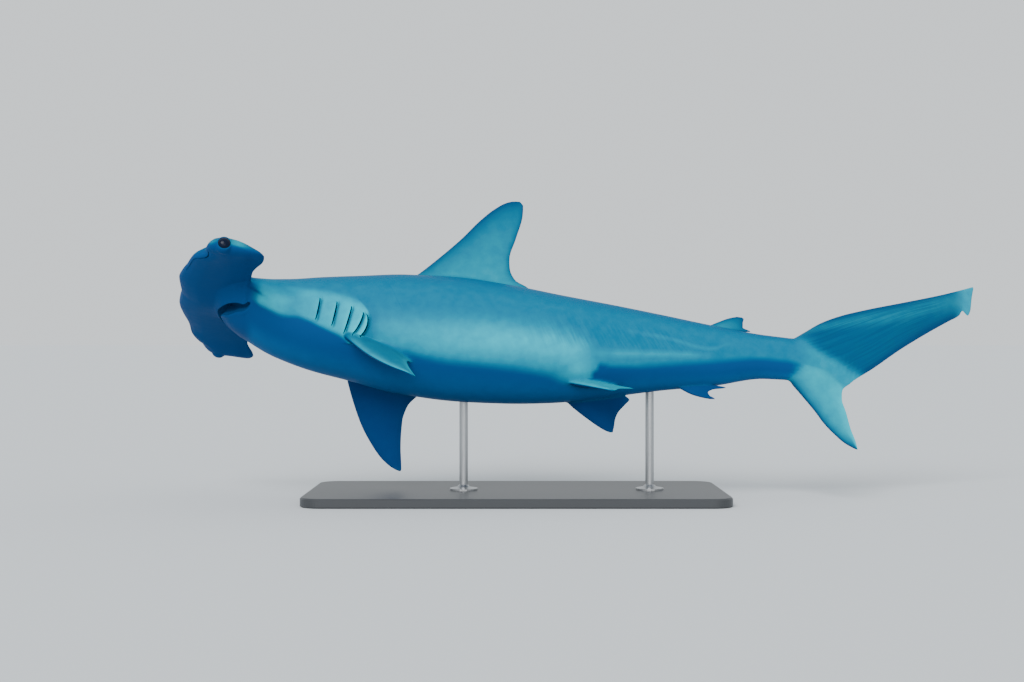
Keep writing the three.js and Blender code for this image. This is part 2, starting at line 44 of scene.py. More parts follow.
# A scalloped hammerhead. It is modelled straight, then bent and banked into its swimming pose.
# Stations and heights are in hundredths of its total length, as x back from the snout,
# y to its right and z up, until the pose turns them into metres of the frame.
shark = {
    "totalLength": 2.6,  # metres
    "bank": -27.6,  # degrees, the belly turned toward -Y
    "pitch": 5.15,  # the nose up
    "headTurn": -9.4,
    "headBend": (11, 14),  # the station where the bend starts, and the length that it takes
    "tailTurn": -26.3, "tailBend": (66, 30),
    "pivot": 30,  # the station that it banks about
    "baseStation": 39,  # the station over the middle of the stand
    "lift": 0.51,  # height of the pivot over the floor
}
unit = shark["totalLength"] / 100


# Sums for shapes

def mix(start, end, t):
    return start + (end - start) * t


def ease(t):
    x = np.clip(t, 0, 1)
    return x * x * (3 - 2 * x)


def past(x, start, over):  # 0 at the start and 1 from start + over on, which may lie on either side of it
    return ease((x - start) / over)


def bell(x, middle, width):
    return np.exp(-(((x - middle) / width) ** 2))


def curve(*knots):  # a smooth line through pairs of place and size, with no overshoot
    x, y = np.array(knots, float).T
    width = np.diff(x)
    slope = np.diff(y) / width
    tangent = np.concatenate((slope[:1], np.zeros(len(x) - 2), slope[-1:]))
    for i in range(1, len(x) - 1):
        if slope[i - 1] * slope[i] > 0:
            ahead, behind = width[i], width[i - 1]
            parts = (2 * ahead + behind) / slope[i - 1] + (ahead + 2 * behind) / slope[i]
            tangent[i] = 3 * (ahead + behind) / parts

    def at(value):
        v = np.clip(value, x[0], x[-1])
        i = np.clip(np.searchsorted(x, v, side="right") - 1, 0, len(x) - 2)
        t = (v - x[i]) / width[i]
        rest = 1 - t
        level = y[i] * (1 + 2 * t) * rest * rest + y[i + 1] * t * t * (3 - 2 * t)
        return level + width[i] * t * rest * (tangent[i] * rest - tangent[i + 1] * t)

    return at


# The swimming bend, then the bank and the pitch

def turnAt(station):
    neck = radians(shark["headTurn"]) * (1 - past(station, *shark["headBend"]))
    return neck + radians(shark["tailTurn"]) * past(station, *shark["tailBend"])


spineStep = 0.25
spineStations = np.arange(0, 100 + spineStep, spineStep)
spineTurns = turnAt(spineStations[:-1] + spineStep / 2)
spineBack = np.concatenate(([0], np.cumsum(np.cos(spineTurns) * spineStep)))
spineLeft = np.concatenate(([0], np.cumsum(np.sin(spineTurns) * spineStep)))
tilt = Matrix.Rotation(radians(shark["pitch"]), 3, "Y") @ Matrix.Rotation(radians(shark["bank"]), 3, "X")


def turned(points):  # straight places, as rows of x, y and z, to places round the pivot
    station, right, up = points.T
    turn = turnAt(station)
    back = np.interp(station, spineStations, spineBack) + np.minimum(station, 0)
    left = np.interp(station, spineStations, spineLeft)
    pivotBack = np.interp(shark["pivot"], spineStations, spineBack)
    pivotLeft = np.interp(shark["pivot"], spineStations, spineLeft)
    x = back - pivotBack + right * np.sin(turn)
    y = pivotLeft - left + right * np.cos(turn)
    return np.stack((x, y, up), 1) @ np.array(tilt).T * unit


def posed(points):
    overBase = turned(np.array([[shark["baseStation"], 0, 0]]))[0]
    return turned(points) + (-overBase[0], -overBase[1], shark["lift"])


# Work on meshes

def deselectAll():
    if bpy.context.mode != "OBJECT":
        bpy.ops.object.mode_set(mode="OBJECT")
    bpy.ops.object.select_all(action="DESELECT")


def pick(*pieces):
    deselectAll()
    for piece in pieces:
        piece.select_set(True)
    bpy.context.view_layer.objects.active = pieces[0]
    return pieces[0]


def places(piece):
    found = np.empty(len(piece.data.vertices) * 3)
    piece.data.vertices.foreach_get("co", found)
    return found.reshape(-1, 3)


def putPlaces(piece, points):
    piece.data.vertices.foreach_set("co", np.ascontiguousarray(points, float).ravel())
    piece.data.update()


def grid(name, columns, rows):  # a flat grid, and the column and row of each of its corners
    deselectAll()
    bpy.ops.mesh.primitive_grid_add(x_subdivisions=columns, y_subdivisions=rows, size=2)
    piece = bpy.context.object
    piece.name = name
    flat = (places(piece) + 1) / 2
    return piece, np.rint(flat[:, 0] * columns).astype(int), np.rint(flat[:, 1] * rows).astype(int)


@contextmanager
def opened(piece):  # its mesh, for work on corners, edges and faces
    work = bmesh.new()
    work.from_mesh(piece.data)
    yield work
    work.to_mesh(piece.data)
    work.free()


def joined(*pieces):
    pick(*pieces)
    bpy.ops.object.join()
    return pieces[0]


def closeUp(piece, gap=2e-4):  # merges corners that meet
    with opened(piece) as work:
        bmesh.ops.remove_doubles(work, verts=work.verts, dist=gap)
        bmesh.ops.recalc_face_normals(work, faces=work.faces)
        if work.calc_volume(signed=True) < 0:
            bmesh.ops.reverse_faces(work, faces=work.faces)
        openEdges = sum(1 for edge in work.edges if not edge.is_manifold)
    print(piece.name, "closed, open edges", openEdges, "faces", len(piece.data.polygons))
    return piece


def applyModifier(piece, kind, **settings):
    pick(piece)
    made = piece.modifiers.new(kind.lower(), kind)
    for key, value in settings.items():
        setattr(made, key, value)
    bpy.ops.object.modifier_apply(modifier=made.name)


def writeMask(piece, name, values, domain="POINT"):
    mask = piece.data.attributes.new(name, "FLOAT", domain)
    mask.data.foreach_set("value", np.ascontiguousarray(values, np.float32))


def readMask(piece, name):
    mask = piece.data.attributes[name]
    found = np.empty(len(mask.data), np.float32)
    mask.data.foreach_get("value", found)
    return found.astype(float)


def spread(piece, values, rounds):  # evens values out over neighbouring corners
    pairs = np.empty(len(piece.data.edges) * 2, np.int32)
    piece.data.edges.foreach_get("vertices", pairs)
    first, second = pairs.reshape(-1, 2).T
    count = np.maximum(np.bincount(pairs, minlength=len(values)), 1)
    for step in range(rounds):
        around = np.bincount(first, values[second], len(values))
        values = (around + np.bincount(second, values[first], len(values))) / count
    return values


def treeOf(points):
    tree = KDTree(len(points))
    for i, point in enumerate(points):
        tree.insert(point, i)
    tree.balance()
    return tree


def soften(piece, lines, reach, rounds, steepness=1.6):  # rounds a crease, less and less out to the reach
    near = treeOf(lines)
    group = piece.vertex_groups.new(name="crease")
    for i, point in enumerate(places(piece)):
        share = 1 - near.find(point)[2] / reach
        if share > 0:
            group.add([i], min(1, steepness * share), "REPLACE")
    applyModifier(piece, "SMOOTH", factor=0.5, iterations=rounds, vertex_group="crease")
    piece.vertex_groups.clear()


def fuse(piece, other, operation, reach=0, rounds=0, apart=1e-4):  # joins or cuts, then may round the crease
    before = treeOf(np.concatenate((places(piece), places(other)))) if reach else None
    applyModifier(piece, "BOOLEAN", operation=operation, object=other, solver="MANIFOLD")
    print(piece.name, operation.lower(), other.name)
    bpy.data.objects.remove(other)
    if reach:
        crease = [point for point in places(piece) if before.find(point)[2] > apart]
        soften(piece, crease, reach, rounds)


# Body: heights of the back and belly, of its widest line, and half widths
back = curve((0, 0.6), (2, 1.4), (4, 1.9), (6, 2.15), (8, 2.4), (12, 3.5), (16, 4.6), (20, 5.35), (26, 6.15),
    (32, 6.35), (38, 6.0), (44, 5.35), (50, 4.8), (56, 4.15), (62, 3.45), (68, 2.9), (71, 2.85), (72.1, 3.6),
    (74.5, 5.45), (77, 6.85), (80, 8.2), (85, 10.4), (91, 13.3), (94.7, 15.3), (96.75, 16.45))
belly = curve((0, 0.4), (4.2, -0.7), (5.2, -1.8), (6.5, -2.9), (8, -3.75), (12, -5.55), (16, -6.45),
    (20, -7.0), (26, -8.05), (32, -8.4), (38, -8.2), (44, -7.6), (50, -6.4), (56, -5.05), (62, -3.95),
    (68, -2.5), (72, -2.4), (76.4, -2.9), (77.3, -2.5), (78.2, -1.6), (80.7, 0.45), (84.5, 3.85), (88.7, 7.3),
    (92.3, 10.1), (94.1, 11.5), (94.75, 12.35), (95.5, 11.95), (96.1, 12.9), (96.35, 14.2), (96.75, 15.9))
middle = curve((0, 0.55), (8, 0.5), (12, 0.1), (16, -0.5), (20, -0.8), (26, -1.0), (44, -1.0), (56, -0.4),
    (68, 0.3), (73, 1.0), (77, 3.2), (85, 8.6), (91, 12.0), (96.75, 16.2))
halfWidth = curve((0, 5.4), (8, 4.6), (12, 4.6), (16, 5.1), (20, 5.55), (26, 6.1), (32, 6.25), (38, 5.85),
    (44, 5.2), (50, 4.3), (56, 3.35), (62, 2.45), (68, 1.75), (72, 1.4), (76, 0.85), (80, 0.6), (86, 0.42),
    (96.75, 0.16))
body = {
    "ringColumns": 128,
    "headEnd": 10.6,  # the station where the head's rows give way to the body's
    "tailEnd": 96.75,
    "web": 0.16,  # half thickness of the tail fin behind its thick upper edge
    "spacing": 0.55, "tipFrom": 93.5, "tipSpacing": 0.1,
    "tip": 0.05,  # how far the last point lies behind the last ring
    "thin": (70, 7),  # where the round body turns into the flat tail fin
    "thinPowers": (0.7, 2.2),  # how fast the thick edge gives way to the web, above and below
    "lowWider": 0.06,
}


def skinPoint(station, angle, out=0):  # angle is 0 on the left side and a quarter turn on the back
    up, side = np.sin(angle), np.cos(angle)
    height = np.where(up > 0, back(station) - middle(station), middle(station) - belly(station))
    thin = past(station, *body["thin"])
    web = np.minimum(body["web"], halfWidth(station)) * thin
    power = np.where(up > 0, *body["thinPowers"]) * thin
    half = web + (halfWidth(station) - web) * np.abs(side) ** power
    across = side * (half * (1 - body["lowWider"] * up * (1 - thin)) + out)
    return np.stack((station + 0 * angle, -across, middle(station) + up * (height + out)), -1)


# Gills: five slits on each side, leaning ahead at their lower ends, each under the edge of a low flap
gills = {
    "stations": (16.28, 18.42, 20.3, 21.8, 22.2),
    "lean": (0.15, 0.26, 0.6, 1.15, 1.55),  # how far the foot of each leads
    "bow": (0, 0, 0.02, 0.22, 0.8),  # how far its middle bows back
    "top": (2, 0.5, -3, -8.5, -9.5),  # degrees over the widest line
    "foot": (-24.5, -27.5, -34, -34, -41.5),
    "proud": (0.12, 0.15, 0.18, 0.19, 0.34),  # height of the flap's edge
    "flap": 0.75,  # how far ahead of a slit its flap begins
    "flapAround": (14, 25, 60, 0.02),  # stations, degrees to either side, and share outside the body
    "flapTop": (-0.14, 0.24),  # how a flap begins and ends, as shares of its slit's length
    "flapFoot": (1.14, -0.24),
    "slitSpan": (-0.1, 1.1),
    "drop": (0.03, 0.12),  # the step down behind the edge of a flap
    "sink": 0.09,  # the hollow behind a slit
    "sinkLength": 0.4, "width": 0.2, "depth": 0.45,
    "endShare": 0.3,  # of the width and depth, at the ends of a slit
    "over": 0.8,  # how far the cut starts outside the skin
    "rake": 0.3,  # how far the bottom of a slit lies ahead of its mouth
    "zone": (15.0, 23.9, -47, 9),  # stations and degrees of the skin that is split finer
    "spacing": 0.3, "steps": 24,
}


def gillLine(order, t):  # station and angle along a slit, from its top to its foot
    bow = 4 * gills["bow"][order] * t * (1 - t)
    degrees = mix(gills["top"][order], gills["foot"][order], t)
    return gills["stations"][order] - gills["lean"][order] * t + bow, np.radians(degrees)


def alongSlit(order, degrees):  # 0 at its top and 1 at its foot
    top, foot = gills["top"][order], gills["foot"][order]
    return (top - degrees) / (top - foot)


def sectionOf(points):  # degrees over the widest line, and the share by which a place lies outside the body
    station, right, up = points.T
    height = np.where(up > middle(station), back(station) - middle(station), middle(station) - belly(station))
    rise = (up - middle(station)) / np.maximum(height, 0.3)  # the floor is for the thin tip of the tail
    across = np.abs(right) / halfWidth(station)
    lean = rise / np.maximum(np.hypot(rise, across), 0.3)  # the section is a little wider below than above
    across = across / (1 - body["lowWider"] * lean * (1 - past(station, *body["thin"])))
    return np.degrees(np.arctan2(rise, across)), np.hypot(rise, across) - 1


def inGillZone(p):
    start, end, low, high = gills["zone"]
    return start < p.x < end and low < sectionOf(np.array([p]))[0][0] < high


def raiseFlaps(trunk):
    points = places(trunk)
    degrees, outside = sectionOf(points)
    start, end, around, outmost = gills["flapAround"]
    near = (points[:, 0] > start) & (points[:, 0] < end) & (np.abs(degrees) < around) & (outside < outmost)
    station, turn, side = points[near, 0], np.radians(degrees[near]), np.sign(points[near, 1])
    push = np.zeros(len(station))
    for order, proud in enumerate(gills["proud"]):
        t = alongSlit(order, degrees[near])
        behind = station - gillLine(order, np.clip(t, *gills["slitSpan"]))[0]
        share = past(t, *gills["flapTop"]) * past(t, *gills["flapFoot"])
        drop = past(behind, *gills["drop"])
        flap = proud * np.where(behind < 0, bell(behind, 0, gills["flap"]), 1 - drop)
        push += share * (flap - gills["sink"] * drop * np.exp(-np.maximum(behind, 0) / gills["sinkLength"]))
    points[near, 1] += side * np.cos(turn) * push
    points[near, 2] += np.sin(turn) * push
    putPlaces(trunk, points)


def gillCorner(order, side):
    def corner(t, rear, deep):
        station, angle = gillLine(order, t)
        narrow = mix(gills["endShare"], 1, np.sqrt(np.sin(t * pi)))
        station = station + np.where(rear, gills["width"] * narrow, 0) - np.where(deep, gills["rake"], 0)
        points = skinPoint(station, angle, np.where(deep, -gills["depth"] * narrow, gills["over"]))
        points[:, 1] *= side
        return points
    return corner


# Head: a wide, thin wing across the front of the neck
frontEdge = curve((0, 0.32), (1.6, 0.13), (3, 0.05), (4.8, 0.4), (6.6, 0.98), (8.8, 1.62), (9.7, 2.25),
    (10.3, 2.75), (10.8, 3.0), (11.6, 3.07), (12.35, 3.3))
rearEdge = curve((0, 8.9), (4.6, 8.0), (7, 8.12), (8.2, 8.42), (9.2, 8.75), (9.95, 9.0), (10.7, 9.18),
    (11.6, 9.27), (12.6, 9.25))
sideEdge = curve((0, 12.35), (0.06, 12.85), (0.13, 13.15), (0.3, 13.3), (0.5, 13.3), (0.7, 13.25),
    (0.88, 13.1), (0.95, 12.8), (1, 12.35))
jawHalf = curve((4.4, 3.4), (5.4, 4.3), (6.6, 4.9), (7.4, 4.9), (8.0, 4.6))
foil = curve((0, 0), (0.02, 0.3), (0.06, 0.52), (0.14, 0.78), (0.3, 1), (0.6, 0.8), (0.85, 0.45),
    (0.96, 0.27), (1, 0.2))
head = {
    "neckJoin": 8.0,
    "middleRise": 0.6,  # height of the wing's middle, which arches down to its ends
    "arch": 0.6, "archHalf": 13, "cornerDroop": 0.4, "droopBack": (6, 3.4), "droopOut": (7, 5.5),
    "topThick": 0.95, "underThick": 1.0,
    "waist": (8.5, 3),  # distance out and spread of the thin place between neck and eye
    "eyeSwell": (13, 1.6), "jawSwell": 0.45, "jawSpread": 4.5,
    "wingEnd": 0.1,  # share of the half span that rounds off at each end
    "rearRound": 0.035,  # share of the chord that rounds off at the rear edge
    "noseRise": 0.25, "crownFrom": 0.6, "crownSpread": 1.6, "crownRear": 0.5, "peakOnset": 0.4,
    "flexFrom": -6, "flexAt": -10.2, "flexSpread": 1.5, "flexFront": 0.5, "flexRear": 0.75,
    "wingColumns": 44,
    "frontRows": (0.3, 24),  # share of the chord, and rows
    "middleRows": 34, "rearRows": (0.9, 0.1, 12), "neckRows": 12,
    "joinReach": 0.9,  # the crease between wing and neck is rounded
    "joinRounds": 12,
}


def wingFlex(across, chord):  # the right wing is flexed a little ahead near its end, most at its rear edge
    flex = mix(head["flexFront"], head["flexRear"], chord)
    return np.where(across < head["flexFrom"], flex * bell(across, head["flexAt"], head["flexSpread"]), 0)


def wingMiddle(across, station):
    droop = past(station, *head["droopBack"]) * past(np.abs(across), *head["droopOut"])
    arch = head["arch"] * (across / head["archHalf"]) ** 2
    return head["middleRise"] - arch - head["cornerDroop"] * droop


def wingTop(across):
    out = np.abs(across)
    return head["topThick"] - 0.2 * bell(out, *head["waist"]) + 0.2 * bell(out, *head["eyeSwell"])


def wingUnder(across):
    jaw = head["jawSwell"] * bell(across, 0, head["jawSpread"])
    return head["underThick"] + jaw - 0.1 * bell(np.abs(across), *head["waist"])


def headHeight(station, across, chord, end, top):  # of the surface over or under the wing's middle
    half = np.where(top, halfWidth(station), jawHalf(station))
    thickness = foil(chord) * end * np.sqrt(1 - np.clip(1 - (1 - chord) / head["rearRound"], 0, 1) ** 2)
    reach = np.abs(np.where(top, back(station), belly(station)) - wingMiddle(0, 0))
    peak = reach - np.where(top, wingTop(0), wingUnder(0)) * thickness
    toRear = past(chord, head["crownFrom"], 1 - head["crownFrom"])
    power = mix(head["crownSpread"], head["crownRear"], toRear)
    crown = np.maximum(0, 1 - (across / half) ** 2) ** power * ease(chord / head["noseRise"])
    rise = (peak + np.sqrt(peak**2 + head["peakOnset"] ** 2)) / 2
    return np.where(top, wingTop(across), wingUnder(across)) * thickness + rise * crown


def headPoint(span, chord, top):  # span is 1 at the left end and -1 at the right one
    across = span * sideEdge(chord)
    station = mix(frontEdge(np.abs(span) * sideEdge(0)), rearEdge(np.abs(span) * sideEdge(1)), chord)
    station = station - wingFlex(across, chord)
    pastEnd = np.maximum(0, np.abs(span) - 1 + head["wingEnd"]) / head["wingEnd"]
    end = np.sqrt(np.maximum(0, 1 - pastEnd**2))
    height = headHeight(station, across, chord, end, top)
    return np.stack((station, -across, wingMiddle(across, station) + np.where(top, height, -height)), -1)


def underHead(station, across):  # the height of the head's underside near its middle
    front, rear = frontEdge(np.abs(across)), rearEdge(np.abs(across))
    chord = np.clip((station - front) / (rear - front), 0, 1)
    return wingMiddle(across, station) - headHeight(station, across, chord, 1, False)


def makeHead():
    wing, ring = head["wingColumns"], body["ringColumns"]
    half = 2 * wing + ring // 2
    (front, frontRows), (rear, rearSpan, rearRows) = head["frontRows"], head["rearRows"]
    chords = np.concatenate((
        front * (1 - np.cos(np.linspace(0, pi / 2, frontRows))),
        np.linspace(front, rear, head["middleRows"])[1:-1],
        rear + rearSpan * np.sin(np.linspace(0, pi / 2, rearRows)),
    ))
    rows = len(chords) - 1 + head["neckRows"]
    piece, column, row = grid("head grid", 2 * half, rows)
    top = column <= half
    i = np.where(top, column, 2 * half - column)
    fromEnd = np.minimum(i, half - i)
    side = np.where(i <= half / 2, 1, -1)
    angle = np.clip(i - wing, 0, ring // 2) / (ring // 2) * pi
    neckShare = halfWidth(head["neckJoin"]) / sideEdge(1)
    outer = side * mix(neckShare, 1, np.cos(fromEnd / wing * pi / 2))
    span = np.where((fromEnd >= wing) | (row >= len(chords)), neckShare * np.cos(angle), outer)
    points = headPoint(span, chords[np.minimum(row, len(chords) - 1)], top)
    # Behind the wing the rows become rings round the neck
    t = (row - len(chords) + 1) / head["neckRows"]
    ringAngle = np.where(top, angle, -angle)
    start = points[:, 0]
    station = mix(start, body["headEnd"], np.clip(t, 0, 1))
    shift = points - skinPoint(start, ringAngle)
    neck = skinPoint(station, ringAngle) + shift * (1 - ease(t))[:, None]
    putPlaces(piece, np.where((t > 0)[:, None], neck, points))
    besideNeck = (row >= len(chords)) & (fromEnd < wing)
    with opened(piece) as work:
        spare = [corner for corner in work.verts if besideNeck[corner.index]]
        bmesh.ops.delete(work, geom=spare, context="VERTS")
    return piece


def makeBody():
    start, end = gills["zone"][:2]
    stations = np.concatenate((
        np.arange(body["headEnd"], start - gills["spacing"] / 3, body["spacing"]),
        np.arange(start, end, gills["spacing"]),
        np.arange(end, body["tipFrom"], body["spacing"]),
        np.arange(body["tipFrom"], body["tailEnd"], body["tipSpacing"]),
        [body["tailEnd"]],
    ))
    piece, column, row = grid("body grid", body["ringColumns"], len(stations))
    angle = column / body["ringColumns"] * 2 * pi
    points = skinPoint(stations[np.minimum(row, len(stations) - 1)], angle)
    last = row == len(stations)
    points[last] = (body["tailEnd"] + body["tip"], 0, (back(body["tailEnd"]) + belly(body["tailEnd"])) / 2)
    putPlaces(piece, points)
    return piece


def makeTrunk():
    trunk = closeUp(joined(makeHead(), makeBody()))
    trunk.name = "shark_skin"
    angle = np.linspace(0, 2 * pi, 2 * body["ringColumns"])
    join = headPoint(halfWidth(head["neckJoin"]) / sideEdge(1) * np.cos(angle), 1, np.sin(angle) > 0)
    soften(trunk, join, head["joinReach"], head["joinRounds"])
    return trunk


# Fins: leading and trailing edges against height, and half thickness
finFoil = curve((0, 0), (0.015, 0.36), (0.06, 0.66), (0.18, 0.94), (0.33, 1), (0.6, 0.7), (0.85, 0.3),
    (0.96, 0.14), (1, 0))
finMesh = {
    "columns": 24, "rows": 50,
    "edge": 0.045,  # least half thickness, and how steeply it rises from each edge
    "edgeRamp": 30,
    "tuckFrom": 5,  # the rear of a fin may bend toward the body from here on
    "samples": 600, "outline": 240,
    "underSoft": 0.06,  # the upper face turns into the lower one over this thickness
    "rimFade": 0.2,
    "rootReach": 0.75, "rootRounds": 24,  # the creases at the roots are rounded
}
uprightFins = {  # painted light at root and tip, and painted shade where a shade is given; rims in front and behind, dark over nothing and painted highlight under it
    "first dorsal": {
        "down": 1, "reach": (4.8, 18.45),
        "light": (0.62, 0.1), "rims": (1, 0.9), "rimWidths": (1.1, 0.3),
        "lead": curve((4.8, 25.2), (6.4, 26.2), (7.3, 27.1), (8.4, 28.1), (12.5, 31.5), (15.25, 33.45),
            (17.2, 35.2), (18.2, 36.6), (18.45, 37.5)),
        "trail": curve((4.8, 37.4), (5.9, 37.7), (6.35, 40.0), (7.4, 38.3), (8.9, 37.55), (10.4, 37.4),
            (13.2, 37.95), (16.6, 38.5), (17.9, 38.45), (18.45, 38.0)),
        "thick": curve((4.8, 1.1), (6.4, 0.75), (8, 0.55), (14, 0.32), (18.48, 0.12)),
    },
    "second dorsal": {
        "down": 1, "reach": (2.6, 5.15), "light": (0.6, 0), "rims": (0.9, 0.9), "rimWidths": (0.3, 0.6),
        "lead": curve((2.6, 59.8), (3.5, 61.1), (4.2, 62.35), (4.9, 63.75), (5.15, 64.6)),
        "trail": curve((2.6, 64.2), (3.15, 64.8), (3.35, 66.2), (3.8, 65.3), (4.4, 65.3), (4.95, 65.4),
            (5.15, 65.15)),
        "thick": curve((2.6, 0.45), (3.4, 0.3), (5.15, 0.1)),
    },
    "anal": {
        "down": -1, "reach": (3.2, 5.8),
        "light": (0, 0), "shade": 0.9, "rims": (0.3, 0.5), "rimWidths": (0.3, 0.4),
        "lead": curve((3.2, 55.8), (4.4, 57.3), (5.1, 58.6), (5.5, 59.6), (5.75, 60.9), (5.8, 61.6)),
        "trail": curve((3.2, 60.6), (3.9, 61.3), (4.2, 63.4), (4.6, 61.9), (5.0, 61.35), (5.4, 61.55),
            (5.7, 62.1), (5.8, 62.15)),
        "thick": curve((3.2, 0.5), (4.4, 0.32), (5.8, 0.1)),
    },
    "lower tail lobe": {
        "down": -1, "reach": (0.8, 10.1), "light": (0.9, 1), "rims": (1, -0.9), "rimWidths": (0.85, 0.35),
        "lead": curve((0.8, 69.6), (2.7, 70.8), (4.05, 71.9), (6.1, 73.6), (7.5, 74.65), (8.8, 76.0),
            (9.6, 77.1), (10.1, 78.35)),
        "trail": curve((0.8, 77.0), (2.6, 77.1), (3.4, 76.87), (4.1, 76.85), (5.6, 77.28), (7.7, 77.8),
            (9.2, 78.35), (10.1, 78.55)),
        "thick": curve((0.8, 1.2), (2.4, 0.75), (4, 0.42), (7, 0.25), (10.1, 0.1)),
    },
}
# In the pectoral and pelvic fins, light is painted light on the upper face and shade is painted shade on the
# under face
pectoral = {
    "reach": (-1.6, 10.85),
    "light": (0.05, 0.2), "shade": 1, "rims": (-0.6, -0.8), "rimWidths": (0.3, 0.35), "rimFrom": 0.14,
    "lead": curve((-1.6, -0.4), (0, 0), (3, 0.8), (6, 1.85), (8, 2.95), (9.5, 4.1), (10.2, 4.95),
        (10.6, 5.65), (10.85, 6.35)),
    "trail": curve((-1.6, 5.3), (0, 5.4), (0.8, 8.4), (1.5, 9.2), (2.1, 8.5), (3.1, 7.45), (3.9, 7.05),
        (5, 6.7), (8, 6.5), (10.2, 6.6), (10.6, 6.62), (10.85, 6.5)),
    "thick": curve((-1.6, 0.9), (0.5, 0.62), (3, 0.45), (8, 0.26), (10.85, 0.1)),
    "root": (19.74, 4.9, -4.51),  # station, distance out and height of the front of the root
}
pelvic = {
    "reach": (-1.2, 4), "light": (0.85, 0.7), "shade": 1, "rims": (-0.3, -0.2), "rimWidths": (0.3, 0.3),
    "lead": curve((-1.2, -1.0), (0, 0), (1.4, 1.6), (2.6, 3.15), (3.4, 4.3), (3.8, 5.0), (4, 5.5)),
    "trail": curve((-1.2, 6.4), (-0.4, 7.2), (0.2, 7.8), (0.8, 7.3), (1.7, 6.5), (2.5, 6.15), (3.4, 6.0),
        (4, 5.85)),
    "thick": curve((-1.2, 0.6), (0.4, 0.38), (4, 0.1)),
    "root": (44.8, 2.1, -6.35),
}
pairedPoses = {  # side, droop, sweep and nose-up twist in degrees, downward curl, and tuck of the rear tip
    "left pectoral": (pectoral, 1, 38.8, 15.5, 10.2, 0, 0.106),
    "right pectoral": (pectoral, -1, 49.4, 4.8, 12.5, 0.013, 0),
    "left pelvic": (pelvic, 1, 29, -6, 0, 0.01, 0),
    "right pelvic": (pelvic, -1, 56, 6, 5, 0.01, 0),
}


def evenHeights(fin, rows):  # heights of rows that lie evenly along the fin's outline
    height = np.linspace(*fin["reach"], finMesh["samples"])
    lead, trail = fin["lead"](height), fin["trail"](height)
    step = np.hypot(np.gradient(height), (np.abs(np.gradient(lead)) + np.abs(np.gradient(trail))) / 2)
    along = np.concatenate(([0], np.cumsum(step[1:])))
    return np.interp(np.linspace(0, along[-1], rows + 1), along, height)


def flatFin(name, fin):  # x along the chord, height along the span, and y through the thickness
    columns, rows = finMesh["columns"], finMesh["rows"]
    piece, column, row = grid(name, 2 * columns, rows + 1)
    heights = evenHeights(fin, rows)
    height = heights[np.clip(row - 1, 0, rows)]
    j = np.where(column <= columns, column, 2 * columns - column)
    chord = (1 - np.cos(j / columns * pi)) / 2
    ramp = finMesh["edgeRamp"]
    edge = finMesh["edge"] * np.minimum(1, np.sqrt((1 - chord) * ramp)) * np.minimum(1, chord * ramp)
    half = np.maximum(fin["thick"](height) * finFoil(chord), edge)
    half = np.where((row == 0) | (row == rows + 1), 0, half)
    x = mix(fin["lead"](height), fin["trail"](height), np.where(row == 0, 0.5, chord))
    return piece, x, height, np.where(column <= columns, half, -half)


def besideBody(x, reach, y, root, side, droop, sweep, twist, curl, tuck):
    down, turn, nose = radians(droop), radians(sweep), radians(twist)
    along = x * cos(turn) + reach * sin(turn)
    span = reach * cos(turn) - x * sin(turn)
    bent = y - tuck * np.maximum(0, x - finMesh["tuckFrom"]) ** 2
    lifted = bent * cos(nose) - along * sin(nose) - curl * span * span
    station = root[0] + along * cos(nose) + bent * sin(nose)
    across = side * (root[1] + span * cos(down) + lifted * sin(down))
    return np.stack((station, -across, root[2] - span * sin(down) + lifted * cos(down)), -1)


def outlineGap(x, height, fin, edge):  # how far a place in the flat fin lies from its front or rear edge
    line = np.linspace(*fin["reach"], finMesh["outline"])
    points = np.stack((fin[edge](line), line), -1)
    return np.sqrt(((np.stack((x, height), -1)[:, None] - points) ** 2).sum(-1)).min(1)


def markFin(piece, fin, x, height, y):  # its share of painted light and painted shade, and of its rims, dark or painted highlight
    under = ease(0.5 - y / finMesh["underSoft"]) if "root" in fin else np.ones(len(x))
    shade = fin.get("shade", 0) * under
    rim = np.zeros(len(x))
    for edge, strength, width in zip(("lead", "trail"), fin["rims"], fin["rimWidths"]):
        near = strength * np.exp(-outlineGap(x, height, fin, edge) / width)
        rim = np.where(np.abs(near) > np.abs(rim), near, rim)
    rim = mix(rim, np.abs(rim), under * (rim < 0)) if "root" in fin else rim
    reach = (height - fin["reach"][0]) / (fin["reach"][1] - fin["reach"][0])
    light = mix(*fin["light"], reach) * (1 - shade)
    rim = rim * past(reach, fin.get("rimFrom", 0), finMesh["rimFade"])
    for name, values in (("fin", 1 + 0 * x), ("finLight", light), ("finShade", shade), ("finRim", rim)):
        writeMask(piece, name, values)


def makeFins():
    made = []
    for name, fin in uprightFins.items():
        piece, x, height, y = flatFin(name, fin)
        markFin(piece, fin, x, height, y)
        putPlaces(piece, np.stack((x, -y, fin["down"] * height), -1))
        made.append(closeUp(piece))
    for name, (fin, *pose) in pairedPoses.items():
        piece, x, reach, y = flatFin(name, fin)
        markFin(piece, fin, x, reach, y)
        putPlaces(piece, besideBody(x, reach, y, fin["root"], *pose))
        made.append(closeUp(piece))
    fins = joined(*made)
    fins.name = "fins"
    return fins


